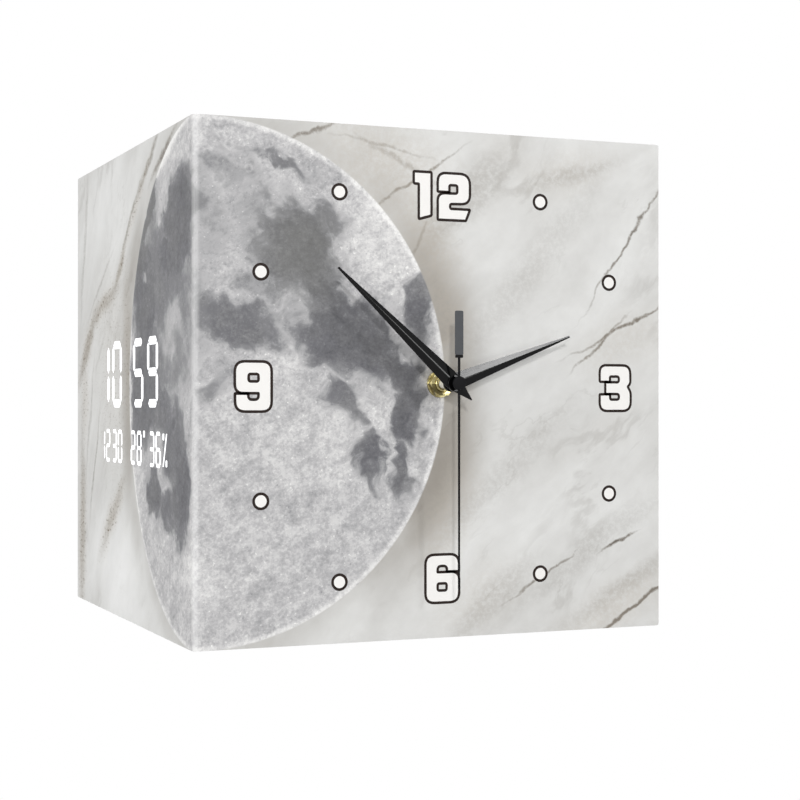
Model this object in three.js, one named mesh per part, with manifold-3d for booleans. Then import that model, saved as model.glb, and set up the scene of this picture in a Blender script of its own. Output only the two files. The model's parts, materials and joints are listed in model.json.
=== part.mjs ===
// Corner wall clock for the outside corner of a wall. One face carries an analogue dial with
// three hands, the other a lit digital display behind the same bent panel. Millimetres, +Z up.
// The origin lies on the wall's corner edge at mid-height. The dial arm rests on the wall plane
// y = 0 and faces -Y, the display arm rests on the wall plane x = 0 and faces -X.

import * as THREE from 'three';
import { mergeVertices } from 'three/addons/utils/BufferGeometryUtils.js';
import Module from 'manifold-3d';

const wasm = await Module();
wasm.setup();

// Clearances
const seatGap = 0.1; // between faces that rest on each other
const runningGap = 0.1; // radial, between a shaft and its hole
const slideGap = 0.2; // between a button or a connector and its hole
const panelGap = 0.2; // rear cover to the rim round it, panel to the bush

// Housing and panel
const faceSize = 260; // width and height of each outer face
const armDepth = 40; // wall plane to outer face
const panelThickness = 2;
const bendRadius = 3; // outer radius of the panel's vertical bend
const housingWall = 2.4;
const panelInset = 0.2; // edge of the panel inside the housing's outer faces
const rimWidth = 1.5; // edge of the housing that shows round a rear cover
const endCornerRadius = 1.2; // corners at the free ends of the arms
const tapeThickness = 0.3; // adhesive between the panel and its ledge
const ledgeThickness = 2;
const frontLedge = 6;
const rearLedge = 9;
const mitreGap = 0.3; // joint between the two housings
const cornerPost = 7; // wall corner to the edge of a rear cover
const coverThickness = 2;
const bossRadius = 3.2;
const bossLength = 6;

// Rear cover screws
const screwRadius = 1.1;
const screwPilotGap = 0.2;
const screwLength = 7;
const screwHeadRadius = 2.4;
const screwHeadHeight = 1;
const counterboreDepth = 1.2;

// Keyhole hangers
const hangerClear = 9.6; // housing's rear ledge to the hanger plate
const hangerWidth = 44;
const hangerTall = 28;
const hangerThickness = 1;
const keyholeRadius = 4.5;
const keyholeSlot = 4.4;
const keyholeRise = 9;
const hangerMargin = 3; // cover opening to the keyhole
const stakeRadius = 1.25;
const stakeSpacing = 34;

// Service window behind the movement and air slots behind the display
const fingerRoom = 14;
const windowRadius = 4;
const ventCount = 6;
const ventLength = 40;
const ventWidth = 3;
const ventPitch = 8;
const ventHeight = -78;

// Hands
const hourPlane = 14; // back of each hand in front of the panel
const minutePlane = 19;
const secondPlane = 24;
const hourReach = 72;
const minuteReach = 84;
const secondReach = 103;
const hourTail = 3; // ends inside the hub
const minuteTail = 12.5;
const lanceWidth = 8.8;
const lanceTipWidth = 1;
const lanceEdge = 0.4;
const lanceRidge = 0.9;
const lanceHub = 4.2;
const lanceHubHeight = 1.5;
const hourAngle = 70; // clockwise from twelve, as drawn at rest
const minuteAngle = 312;
const secondAngle = 180;
const stickWidth = 1.3;
const stickTipWidth = 0.9;
const stickThickness = 0.5;
const counterweightWidth = 4.5;
const counterweightLength = 23.5;
const counterweightStart = 12.7;
const secondHubRadius = 3.5;
const secondHubHeight = 1.2;
const sleeveRadius = 1.1;
const sleeveLength = 2.2;

// Concentric shafts, outer radii
const secondShaft = 0.5;
const minutePipe = 1.6;
const hourPipe = 2.5;
const bushRadius = 3.9;
const pipeOverrun = 0.4; // pipe end in front of the hand that it carries

// Fixing of the movement to the panel
const bushReach = 5.4; // thread end in front of the panel
const bushFlange = 0.8;
const bushFlangeRadius = 5.6;
const washerRadius = 7;
const washerThickness = 1;
const nutFlats = 12;
const nutThickness = 3.2;
const nutChamfer = 0.5;
const gasketThickness = 0.8;
const gasketRadius = 11;

// Movement: teeth, layers and case
const rotorPinionTeeth = 6;
const fifthTeeth = 30;
const fifthPinionTeeth = 6;
const secondsTeeth = 36;
const secondsPinionTeeth = 6;
const thirdTeeth = 45;
const thirdPinionTeeth = 6;
const centreTeeth = 48;
const cannonTeeth = 10;
const idlerTeeth = 30;
const idlerPinionTeeth = 8;
const hourTeeth = 32;
const trainModule = 0.45;
const rotorModule = 0.5;
const addendum = 0.8; // in modules
const dedendum = 1.15;
const toothShare = 0.4; // of the pitch, at the pitch circle
const thirdBearing = 150; // degrees round the hand axis, seen from the front
const fifthBearing = 80;
const rotorBearing = 60; // round the fifth wheel
const idlerBearing = 15;
const arborRadius = 0.5;
const idlerShaft = 1;
const radialGap = 0.5; // between a wheel's teeth and a passing arbor
const wheelThickness = 0.8;
const layerGap = 0.4;
const plateThickness = 1;
const magnetRadius = 3;
const magnetThickness = 1.6;
const statorThickness = 0.8;
const statorMargin = 2.3; // stator block outside the magnet
const statorArm = 2.4;
const statorReach = 20; // hand axis to the far leg of the stator
const coreWidth = 1.6;
const coreThickness = 0.8;
const coilRadius = 1.5;
const coilFlange = 0.8;
const caseWall = 1.2;
const caseRadius = 3;
const bayWall = 0.9;
const postRadius = 1.4;
const batteryDiameter = 14.5;
const batteryLength = 49.2;
const batteryNubRadius = 2.75;
const batteryNubLength = 1.2;
const batteryGap = 0.3;
const contactThickness = 0.4;
const contactWidth = 7;
const contactBow = 1.2;
const boardThickness = 1;
const boardDepth = 9; // movement board behind the front of the case
const crystalRadius = 1;
const crystalLength = 6.4;
const knobRadius = 5;
const knobThickness = 3;
const knobRibs = 14;
const knobRibDepth = 0.5;

// Digital display: x runs to the right and y up, from the middle of the display face
const timeDigit = { width: 23, height: 38, stroke: 4.8 };
const timeHeight = 6.6;
const timeLefts = [-67.5, -37.5, 11, 41.5];
const colonLeft = -3.2;
const colonSize = 4.4;
const colonSpread = 7;
const smallDigit = { width: 10.5, height: 19 };
const smallHeight = -34;
const smallLefts = [-66, -53, -37, -24, 6, 19.5, 46.4, 59.4];
const degreeLeft = 33.5;
const percentLeft = 73.5;
const signSize = 3.6;
const segmentGap = 0.7;
const lightMargin = 8; // reflector outside the digits
const boardMargin = 5; // display board outside the reflector
const filmThickness = 0.4;
const reflectorDepth = 8;
const displayBoardThickness = 1.6;
const lampSize = 1.6;
const lampHeight = 0.8;
const clampPostRadius = 3;
const clampMargin = 1; // edge of the display board to a post
const chipWidth = 12;
const chipLength = 18;
const chipHeight = 2;
const chipPins = 5;
const chipPlace = [10, -6];
const cellRadius = 10;
const cellThickness = 3.2;
const cellPlace = [-42, -8];
const holderWall = 1.2;
const holderFloor = 0.8;

// Buttons, key board and power inlet in the floor of the display arm
const buttonCount = 3;
const buttonPitch = 15;
const buttonRadius = 3;
const buttonStandOut = 1;
const buttonTravel = 0.8;
const buttonFlangeRadius = 4.2;
const buttonFlange = 1.2;
const plungerRadius = 1.5;
const plungerLength = 2.4;
const keysReach = 17; // wall plane to the row of buttons
const switchSize = 6;
const switchHeight = 3.5;
const actuatorRadius = 1.7;
const actuatorHeight = 1;
const keyBoardWidth = 15;
const keyBoardThickness = 1.6;
const keyBoardMargin = 9;
const keyPostRadius = 2.2;
const inletInset = 34; // free end of the arm to the power inlet
const inletSpacing = 19; // last button to the power inlet
const inletWidth = 9;
const inletTall = 3.3;
const inletShell = 0.4;
const inletMouthDepth = 6.5;
const sensorWidth = 12;
const sensorTall = 14;
const sensorThick = 5;
const sensorSlots = 4;
const sensorSlotDepth = 1;
const ribbonWidth = 12;
const ribbonThickness = 0.8;
const ribbonClear = 1; // ribbon to the post beside it

// Places that follow from the sizes above
const half = faceSize / 2;
const armReach = faceSize - armDepth; // wall corner to the end of an arm
const coverBack = -armDepth + coverThickness; // inner face of a rear cover, in a face's own frame
const ledgeFront = armDepth - panelThickness - tapeThickness; // from the wall plane
const cavityFront = ledgeFront - ledgeThickness;
const cavityBack = coverThickness + seatGap + ledgeThickness;
const mitreShift = (mitreGap / 2) * Math.SQRT2;
const mitreInset = mitreShift + housingWall * Math.SQRT2;
const screwAlong = [cornerPost + rearLedge / 2, armReach - housingWall - rearLedge / 2];
const screwHeight = half - housingWall - rearLedge / 2;
const hangerHeight = half - housingWall - rearLedge - hangerClear - hangerTall / 2;

const round = 16; // facets of a large circle
const roundSmall = 8;
const cornerSteps = 2; // half the facets of a rounded corner
const cutExtra = 1; // cutters reach past the faces that they open
const tau = 2 * Math.PI;

// Geometry helpers

function cleaned(geometry) {
  const bare = geometry.clone();
  for (const name of Object.keys(bare.attributes)) {
    if (name !== 'position') bare.deleteAttribute(name);
  }
  const merged = mergeVertices(bare, 1e-5);
  const index = merged.index.array;
  const kept = [];
  for (let i = 0; i < index.length; i += 3) {
    const [a, b, c] = [index[i], index[i + 1], index[i + 2]];
    if (a !== b && b !== c && c !== a) kept.push(a, b, c);
  }
  merged.setIndex(kept);
  return outward(merged);
}

// Turns the faces over if the enclosed volume comes out negative.
function outward(geometry) {
  const place = geometry.attributes.position;
  const index = geometry.index.array;
  const [a, b, c] = [new THREE.Vector3(), new THREE.Vector3(), new THREE.Vector3()];
  let volume = 0;
  for (let i = 0; i < index.length; i += 3) {
    a.fromBufferAttribute(place, index[i]);
    b.fromBufferAttribute(place, index[i + 1]);
    c.fromBufferAttribute(place, index[i + 2]);
    volume += a.dot(b.cross(c));
  }
  if (volume < 0) geometry.setIndex(Array.from(index).reverse());
  return geometry;
}

function solid(geometry) {
  const clean = cleaned(geometry);
  const vertProperties = new Float32Array(clean.attributes.position.array);
  const triVerts = new Uint32Array(clean.index.array);
  return new wasm.Manifold(new wasm.Mesh({ numProp: 3, vertProperties, triVerts }));
}

function geometryOf(manifold) {
  const mesh = manifold.getMesh();
  const geometry = new THREE.BufferGeometry();
  geometry.setAttribute('position', new THREE.BufferAttribute(mesh.vertProperties, 3));
  geometry.setIndex(new THREE.BufferAttribute(mesh.triVerts, 1));
  return geometry;
}

function joined(...geometries) {
  return geometryOf(geometries.map(solid).reduce((whole, piece) => whole.add(piece)));
}

function cut(geometry, ...cutters) {
  return geometryOf(cutters.map(solid).reduce((rest, cutter) => rest.subtract(cutter), solid(geometry)));
}

function common(first, second) {
  return geometryOf(solid(first).intersect(solid(second)));
}

// A flat outline carried from low to high along z.
function slab(shape, low, high) {
  const options = { depth: high - low, bevelEnabled: false, curveSegments: cornerSteps };
  return new THREE.ExtrudeGeometry(shape, options).translate(0, 0, low);
}

function outline(points) {
  return new THREE.Shape(points.map(([x, y]) => new THREE.Vector2(x, y)));
}

function rectangle(x0, x1, y0, y1) {
  return outline([[x0, y0], [x1, y0], [x1, y1], [x0, y1]]);
}

function box(x0, x1, y0, y1, z0, z1) {
  return slab(rectangle(x0, x1, y0, y1), z0, z1);
}

function circlePoints(radius, x, y, facets, start = 0) {
  return Array.from({ length: facets }, (unused, i) => {
    const angle = start + (i * tau) / facets;
    return [x + radius * Math.cos(angle), y + radius * Math.sin(angle)];
  });
}

// A hole's flats lie on its radius, so that a shaft turns free inside it.
function holePoints(radius, x = 0, y = 0, facets = roundSmall) {
  return circlePoints(radius / Math.cos(Math.PI / facets), x, y, facets);
}

function withHoles(shape, ...holes) {
  for (const points of holes) shape.holes.push(outline(points));
  return shape;
}

function disc(radius, x, y, low, high, facets = roundSmall) {
  return slab(outline(circlePoints(radius, x, y, facets)), low, high);
}

function bore(radius, x, y, low, high, facets = roundSmall) {
  return slab(outline(holePoints(radius, x, y, facets)), low, high);
}

function ring(outer, inner, low, high, facets = round) {
  const shape = outline(circlePoints(outer, 0, 0, facets));
  return slab(withHoles(shape, holePoints(inner, 0, 0, facets)), low, high);
}

function roundedRectangle(x0, x1, y0, y1, radius) {
  const shape = new THREE.Shape();
  shape.moveTo(x0 + radius, y0);
  shape.lineTo(x1 - radius, y0);
  shape.absarc(x1 - radius, y0 + radius, radius, -Math.PI / 2, 0);
  shape.lineTo(x1, y1 - radius);
  shape.absarc(x1 - radius, y1 - radius, radius, 0, Math.PI / 2);
  shape.lineTo(x0 + radius, y1);
  shape.absarc(x0 + radius, y1 - radius, radius, Math.PI / 2, Math.PI);
  shape.lineTo(x0, y0 + radius);
  shape.absarc(x0 + radius, y0 + radius, radius, Math.PI, 1.5 * Math.PI);
  return shape;
}

// A profile of [radius, height] points turned about z.
function turned(profile, facets = round) {
  const points = profile.map(([radius, height]) => new THREE.Vector2(radius, height));
  return new THREE.LatheGeometry(points, facets).rotateX(Math.PI / 2);
}

// A plan outline of an arm, given as [along the wall, reach from the wall], carried upwards.
// The dial arm runs to the right of the corner (side 1), the display arm to the left (side -1).
function prism(plan, low, high, side) {
  const points = plan.map(([along, reach]) => [acrossFace(along, side), armDepth - reach]);
  return slab(outline(points), low, high).rotateX(-Math.PI / 2);
}

function acrossFace(along, side) {
  return side * (along + armDepth - half);
}

// A round bar standing upright in a face's own frame.
function upright(radius, x, z, low, high, facets = roundSmall) {
  return disc(radius, x, -z, low, high, facets).rotateX(-Math.PI / 2);
}

const group = new THREE.Group();
const dialFace = new THREE.Group();
const displayFace = new THREE.Group();

// Each face's own frame: x to the right, y up and z out of the face, from its middle.
function placeFace(face, x, y, turn) {
  const tilt = new THREE.Group();
  tilt.rotation.x = Math.PI / 2;
  tilt.add(face);
  const post = new THREE.Group();
  post.position.set(x, y, 0);
  post.rotation.z = turn;
  post.add(tilt);
  group.add(post);
}

placeFace(dialFace, half - armDepth, -armDepth, 0);
placeFace(displayFace, -armDepth, half - armDepth, -Math.PI / 2);

const finishes = {
  whiteCase: { color: 0xf2f1ee, roughness: 0.45, metalness: 0 },
  print: { color: 0xcfcdca, roughness: 0.2, metalness: 0 },
  steel: { color: 0xb4b6b8, roughness: 0.35, metalness: 1 },
  brass: { color: 0xd8b45a, roughness: 0.25, metalness: 1 },
  black: { color: 0x121214, roughness: 0.25, metalness: 0 },
  darkGrey: { color: 0x54565a, roughness: 0.4, metalness: 0 },
  caseBlack: { color: 0x1b1b1c, roughness: 0.55, metalness: 0 },
  gearWhite: { color: 0xe6e4da, roughness: 0.5, metalness: 0 },
  rubber: { color: 0x242424, roughness: 0.9, metalness: 0 },
  board: { color: 0x1f5a38, roughness: 0.5, metalness: 0 },
  copper: { color: 0xa8602c, roughness: 0.4, metalness: 1 },
  battery: { color: 0x8d9499, roughness: 0.35, metalness: 0 },
  film: { color: 0xf4f6f8, roughness: 0.6, metalness: 0 },
};

function add(name, geometry, finish, parent = group) {
  const shaped = cleaned(geometry);
  shaped.computeVertexNormals();
  const mesh = new THREE.Mesh(shaped, new THREE.MeshStandardMaterial(finishes[finish]));
  mesh.name = name;
  parent.add(mesh);
  return mesh;
}

// Housing: a white frame for each arm, mitred at the corner, open in front and behind

function bendArc(radius, from, to) {
  const steps = 4;
  const centre = armDepth - bendRadius;
  return Array.from({ length: steps + 1 }, (unused, i) => {
    const angle = from + ((to - from) * i) / steps;
    return [-centre + radius * Math.cos(angle), centre + radius * Math.sin(angle)];
  });
}

function housing(side) {
  const [start, ...bend] = bendArc(bendRadius, 0.75 * Math.PI, 0.5 * Math.PI);
  const outer = prism(
    [[start[0] + mitreShift, start[1]], ...bend, [armReach, armDepth], [armReach, 0], [mitreShift, 0]],
    -half, half, side);
  const endX = acrossFace(armReach, side);
  const [left, right] = [Math.min(endX, -2 * endX), Math.max(endX, -2 * endX)];
  const rounding = slab(
    roundedRectangle(left, right, -half, half, endCornerRadius), -armDepth - cutExtra, cutExtra);
  const inRim = half - rimWidth;
  const inWall = half - housingWall;
  const panelRecess = prism(
    [[-faceSize, ledgeFront], [armReach + cutExtra, ledgeFront],
      [armReach + cutExtra, faceSize], [-faceSize, faceSize]], -half - cutExtra, half + cutExtra, side);
  const cavity = prism(
    [[mitreInset - cavityFront, cavityFront], [armReach - housingWall, cavityFront],
      [armReach - housingWall, cavityBack], [mitreInset - cavityBack, cavityBack]], -inWall, inWall, side);
  const frontEnd = armReach - housingWall - frontLedge;
  const frontDeep = cavityFront - cutExtra;
  const frontOpening = prism(
    [[mitreInset - armDepth, armDepth], [frontEnd, armDepth],
      [frontEnd, frontDeep], [mitreInset - frontDeep, frontDeep]],
    -inWall + frontLedge, inWall - frontLedge, side);
  const rearStart = cornerPost + rearLedge;
  const rearEnd = armReach - housingWall - rearLedge;
  const rearOpening = prism(
    [[rearStart, cavityBack + cutExtra], [rearEnd, cavityBack + cutExtra], [rearEnd, -cutExtra],
      [rearStart, -cutExtra]], -inWall + rearLedge, inWall - rearLedge, side);
  const coverRecess = prism(
    [[cornerPost, coverThickness + seatGap], [armReach - rimWidth, coverThickness + seatGap],
      [armReach - rimWidth, -cutExtra], [cornerPost, -cutExtra]], -inRim, inRim, side);
  const frame = cut(common(outer, rounding), panelRecess, cavity, frontOpening, rearOpening, coverRecess);
  const bossBack = cavityBack - armDepth;
  const bosses = screwPlaces(side).map(([x, y]) => disc(bossRadius, x, y, bossBack, bossBack + bossLength));
  const pilotFront = coverBack + screwLength;
  const pilots = screwPlaces(side).map(
    ([x, y]) => bore(screwRadius + screwPilotGap, x, y, -armDepth, pilotFront));
  return cut(joined(frame, ...bosses), ...pilots);
}

function screwPlaces(side) {
  return screwAlong.flatMap((along) => [-screwHeight, screwHeight].map((y) => [acrossFace(along, side), y]));
}

// Buttons and inlet stand in one row in the floor of the display arm.
const floorTop = -half + housingWall;
const keysAlong = armReach - inletInset - inletSpacing - (buttonCount - 1) * buttonPitch;
const buttonPlaces = Array.from(
  { length: buttonCount }, (unused, i) => acrossFace(keysAlong + i * buttonPitch, -1));
const keysZ = keysReach - armDepth;
const inletX = acrossFace(armReach - inletInset, -1);
const plungerTop = floorTop + seatGap + buttonFlange + plungerLength;
const actuatorLow = plungerTop + buttonTravel + slideGap;
const switchLow = actuatorLow + actuatorHeight;
const keyBoardLow = switchLow + switchHeight + seatGap;
const keyBoardEnds = [inletX - keyBoardMargin, buttonPlaces[0] + keyBoardMargin];

function displayHousing() {
  const holes = buttonPlaces.map(
    (x) => upright(buttonRadius + slideGap, x, keysZ, -half - cutExtra, floorTop + cutExtra, round));
  const inletSlot = box(
    inletX - inletWidth / 2 - slideGap, inletX + inletWidth / 2 + slideGap, -half - cutExtra,
    floorTop + cutExtra, keysZ - inletTall / 2 - slideGap, keysZ + inletTall / 2 + slideGap);
  const posts = keyBoardEnds.map((x, i) => upright(
    keyPostRadius, x + (i ? -1 : 1) * keyPostRadius, keysZ, floorTop - cutExtra, keyBoardLow - seatGap));
  return joined(cut(housing(-1), ...holes, inletSlot), ...posts);
}

add('dial_housing', housing(1), 'whiteCase', dialFace);
add('display_housing', displayHousing(), 'whiteCase', displayFace);

// Front panel: one printed acrylic sheet bent round the corner

function frontPanel() {
  const end = armReach - panelInset;
  const inner = armDepth - panelThickness;
  const bendFrom = 0.5 * Math.PI;
  const outside = bendArc(bendRadius, bendFrom, Math.PI);
  const inside = bendArc(bendRadius - panelThickness, Math.PI, bendFrom);
  const plan = [[end, armDepth], ...outside, [-armDepth, -end], [-inner, -end], ...inside, [end, inner]];
  const tall = half - panelInset;
  const bent = slab(outline(plan.map(([along, reach]) => [along, -reach])), -tall, tall);
  const dialEnd = slab(roundedRectangle(-faceSize, end, -tall, tall, endCornerRadius), -faceSize, faceSize)
    .rotateX(Math.PI / 2);
  const displayEnd = dialEnd.clone().rotateZ(Math.PI / 2);
  const sheet = common(common(bent, dialEnd), displayEnd);
  const shaftHole = bore(bushRadius + panelGap, 0, 0, -armDepth, armDepth, round)
    .rotateX(Math.PI / 2)
    .translate(half - armDepth, -armDepth, 0);
  return cut(sheet, shaftHole);
}

add('front_panel', frontPanel(), 'print');

// Hangers and rear covers

// A round hole for the head of a wall screw with a slot above it for the neck.
function keyhole(y) {
  const slotHalf = keyholeSlot / 2;
  const meet = Math.asin(slotHalf / keyholeRadius);
  const arc = (radius, height, from, to, steps) => Array.from({ length: steps + 1 }, (unused, i) => {
    const angle = from + ((to - from) * i) / steps;
    return [radius * Math.cos(angle), height + radius * Math.sin(angle)];
  });
  return [
    ...arc(keyholeRadius, y, Math.PI / 2 + meet, 2.5 * Math.PI - meet, round - roundSmall),
    ...arc(slotHalf, y + keyholeRise, 0, Math.PI, roundSmall / 2)];
}

const stakePlaces = [-stakeSpacing / 2, stakeSpacing / 2];
const keyholeLow = hangerHeight - keyholeRise / 2;

function hangerPlate() {
  const shape = roundedRectangle(
    -hangerWidth / 2, hangerWidth / 2, hangerHeight - hangerTall / 2, hangerHeight + hangerTall / 2,
    keyholeSlot / 2);
  const stakeHoles = stakePlaces.map((x) => holePoints(stakeRadius + runningGap, x, hangerHeight));
  withHoles(shape, keyhole(keyholeLow), ...stakeHoles);
  return slab(shape, coverBack + seatGap, coverBack + seatGap + hangerThickness);
}

function coverSheet(side, openings) {
  const near = acrossFace(cornerPost + panelGap, side);
  const far = acrossFace(armReach - rimWidth - panelGap, side);
  const tall = half - rimWidth - panelGap;
  const shape = roundedRectangle(Math.min(near, far), Math.max(near, far), -tall, tall, endCornerRadius);
  const hangerHole = roundedRectangle(
    -keyholeRadius - hangerMargin, keyholeRadius + hangerMargin, keyholeLow - keyholeRadius - hangerMargin,
    keyholeLow + keyholeRise + hangerMargin, keyholeSlot / 2);
  shape.holes.push(hangerHole, ...openings);
  const sheet = slab(shape, -armDepth, coverBack);
  const stakes = stakePlaces.map((x) => disc(
    stakeRadius, x, hangerHeight, coverBack - cutExtra, coverBack + seatGap + 2 * hangerThickness));
  const cutters = screwPlaces(side).flatMap(([x, y]) => [
    bore(screwRadius + screwPilotGap, x, y, -armDepth - cutExtra, coverBack + cutExtra),
    bore(screwHeadRadius + slideGap, x, y, -armDepth - cutExtra, -armDepth + counterboreDepth, roundSmall),
  ]);
  return cut(joined(sheet, ...stakes), ...cutters);
}

// Screws with flat heads, sunk in the covers.
function coverScrew() {
  return turned([
    [0, 0], [screwHeadRadius, 0], [screwHeadRadius, screwHeadHeight], [screwRadius, screwHeadHeight],
    [screwRadius, screwLength - screwRadius], [0, screwLength]], roundSmall);
}

function addScrews(side, armName, face) {
  screwPlaces(side).forEach(([x, y], i) => {
    const screw = add(`${armName}_cover_screw_${i + 1}`, coverScrew(), 'steel', face);
    screw.position.set(x, y, -armDepth + counterboreDepth - screwHeadHeight - seatGap);
  });
}

// Movement: centres of the wheels, seen from the front, with the hands' axis at the middle

function polar(radius, bearing, from = [0, 0]) {
  const angle = (bearing * Math.PI) / 180;
  return [from[0] + radius * Math.cos(angle), from[1] + radius * Math.sin(angle)];
}

const pitchRadius = (teeth, size) => (teeth * size) / 2;
const tipRadius = (teeth, size) => pitchRadius(teeth, size) + addendum * size;
const thirdDistance = pitchRadius(secondsPinionTeeth + thirdTeeth, trainModule);
const centreModule = (2 * thirdDistance) / (thirdPinionTeeth + centreTeeth);
const fifthDistance = tipRadius(centreTeeth, centreModule) + arborRadius + radialGap;
const secondsModule = (2 * fifthDistance) / (fifthPinionTeeth + secondsTeeth);
const rotorDistance = pitchRadius(rotorPinionTeeth + fifthTeeth, rotorModule);
const idlerDistance = tipRadius(centreTeeth, centreModule) + idlerShaft + radialGap;
const cannonModule = (2 * idlerDistance) / (cannonTeeth + idlerTeeth);
const hourModule = (2 * idlerDistance) / (idlerPinionTeeth + hourTeeth);
const handAxis = [0, 0];
const thirdAxis = polar(thirdDistance, thirdBearing);
const fifthAxis = polar(fifthDistance, fifthBearing);
const rotorAxis = polar(rotorDistance, rotorBearing, fifthAxis);
const idlerAxis = polar(idlerDistance, idlerBearing);

// Depths behind the front of the case, one layer after another
const hourLayer = caseWall + seatGap + bushFlange + layerGap;
const cannonLayer = hourLayer + wheelThickness + layerGap;
const middleLayer = cannonLayer + wheelThickness + layerGap;
const centreLayer = middleLayer + plateThickness + layerGap;
const thirdLayer = centreLayer + wheelThickness + layerGap;
const secondsLayer = thirdLayer + wheelThickness + layerGap;
const fifthLayer = secondsLayer + wheelThickness + layerGap;
const magnetLayer = fifthLayer + wheelThickness + layerGap;
const statorLayer = magnetLayer + (magnetThickness - statorThickness) / 2;
const bridgeLayer = magnetLayer + magnetThickness + layerGap;
const rearLayer = bridgeLayer + plateThickness + layerGap;
const movementFront = -panelThickness - gasketThickness - 2 * seatGap;
const depthZ = (depth) => movementFront - depth;

const chamberRadius = layerGap + Math.max(
  tipRadius(centreTeeth, centreModule),
  tipRadius(secondsTeeth, secondsModule),
  tipRadius(hourTeeth, hourModule));
const bayTop = -chamberRadius - bayWall;
const batteryAxisY = bayTop - batteryGap - batteryDiameter / 2;
const caseHalf = -batteryAxisY + batteryDiameter / 2 + batteryGap + caseWall;
const inCase = caseHalf - caseWall;

// A layer of the movement: an outline between two depths.
function layer(shape, depth, thickness) {
  return slab(shape, depthZ(depth + thickness), depthZ(depth));
}

function arbor(radius, [x, y], fromDepth, toDepth, facets = roundSmall) {
  return disc(radius, x, y, depthZ(toDepth), depthZ(fromDepth), facets);
}

// Trapezoidal teeth. A tooth, or a gap if meshing says so, points at the mating wheel.
function gear(teeth, size, [x, y], mate, meetsWithGap, boreRadius = 0) {
  const pitch = tau / teeth;
  const root = pitchRadius(teeth, size) - dedendum * size;
  const tip = tipRadius(teeth, size);
  const flank = (toothShare * pitch) / 2;
  const rootHalf = 1.2 * flank;
  const tipHalf = 0.5 * flank;
  const towards = Math.atan2(mate[1] - y, mate[0] - x) + (meetsWithGap ? pitch / 2 : 0);
  const points = [];
  for (let i = 0; i < teeth; i += 1) {
    const middle = towards + i * pitch;
    for (const [radius, offset] of [[root, -rootHalf], [tip, -tipHalf], [tip, tipHalf], [root, rootHalf]]) {
      points.push([x + radius * Math.cos(middle + offset), y + radius * Math.sin(middle + offset)]);
    }
  }
  const shape = outline(points);
  return boreRadius ? withHoles(shape, holePoints(boreRadius, x, y, round)) : shape;
}

const plateEnds = {
  left: -inCase + 2 * layerGap,
  right: idlerAxis[0] + idlerShaft + 4 * postRadius,
  low: -chamberRadius + layerGap,
  top: rotorAxis[1] + magnetRadius + layerGap,
};
const coilY = inCase - coilRadius - statorArm / 2;
const bridgeTop = coilY - coilRadius - 2 * layerGap;
const postInset = postRadius + 2 * layerGap;
const platePosts = [
  [plateEnds.left + postInset, plateEnds.low + postInset],
  [plateEnds.right - postInset, plateEnds.low + postInset],
  [plateEnds.right - postInset, bridgeTop - postInset],
  [plateEnds.left + postInset, bridgeTop - postInset],
];

function pivotHoles(...axes) {
  return axes.map(([x, y]) => holePoints(arborRadius + runningGap, x, y));
}

const boardLeft = plateEnds.right + layerGap;
const boardRight = inCase - batteryGap - contactThickness - seatGap; // beside the contact tab
const boardLow = plateEnds.low;
const boardTop = bridgeTop;
const boardPosts = [boardLow + postInset, boardTop - postInset].map((y) => [(boardLeft + boardRight) / 2, y]);

function movementCase() {
  const floor = withHoles(
    roundedRectangle(-caseHalf, caseHalf, -caseHalf, caseHalf, caseRadius),
    holePoints(bushRadius + runningGap, 0, 0, round), ...pivotHoles(idlerAxis));
  const walls = withHoles(
    roundedRectangle(-caseHalf, caseHalf, -caseHalf, caseHalf, caseRadius),
    [[-inCase, -chamberRadius], [inCase, -chamberRadius], [inCase, inCase], [-inCase, inCase]],
    [[-inCase, -inCase], [inCase, -inCase], [inCase, bayTop], [-inCase, bayTop]]);
  const inFloor = caseWall - layerGap;
  const posts = platePosts.map((place) => arbor(postRadius, place, inFloor, middleLayer - seatGap));
  const boardProps = boardPosts.map((place) => arbor(postRadius, place, inFloor, boardDepth - seatGap));
  const shell = joined(
    layer(floor, 0, caseWall), layer(walls, inFloor, rearLayer - inFloor), ...posts, ...boardProps);
  const notches = [-1, 1].map((end) => box(
    end * inCase - contactThickness - 2 * batteryGap, end * inCase + contactThickness + 2 * batteryGap,
    bayTop - cutExtra, -chamberRadius + cutExtra,
    depthZ(rearLayer + cutExtra), depthZ(rearLayer - contactWidth - 2 * batteryGap)));
  const inside = box(
    -inCase, inCase, bayTop - cutExtra, -chamberRadius + cutExtra,
    depthZ(rearLayer + cutExtra), depthZ(caseWall));
  return cut(shell, ...notches.map((notch) => common(notch, inside)));
}

function movementCover() {
  const shape = withHoles(
    roundedRectangle(-caseHalf, caseHalf, bayTop, caseHalf, caseRadius),
    holePoints(idlerShaft + runningGap, ...idlerAxis));
  return layer(shape, rearLayer + seatGap, caseWall);
}

function middlePlate() {
  const { left, right, low, top } = plateEnds;
  const shape = withHoles(
    roundedRectangle(left, right, low, top, postRadius),
    holePoints(minutePipe + runningGap, 0, 0, round), holePoints(idlerShaft + runningGap, ...idlerAxis),
    ...pivotHoles(thirdAxis, fifthAxis, rotorAxis));
  const posts = platePosts.map(
    (place) => arbor(postRadius, place, middleLayer + layerGap, bridgeLayer - seatGap));
  return joined(layer(shape, middleLayer, plateThickness), ...posts);
}

function trainBridge() {
  const { left, right, low, top } = plateEnds;
  const step = rotorAxis[0] - magnetRadius - statorMargin + 2 * layerGap;
  const shape = withHoles(
    outline([[left, low], [right, low], [right, top], [step, top], [step, bridgeTop], [left, bridgeTop]]),
    holePoints(idlerShaft + runningGap, ...idlerAxis),
    ...pivotHoles(handAxis, thirdAxis, fifthAxis, rotorAxis));
  return layer(shape, bridgeLayer, plateThickness);
}

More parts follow.
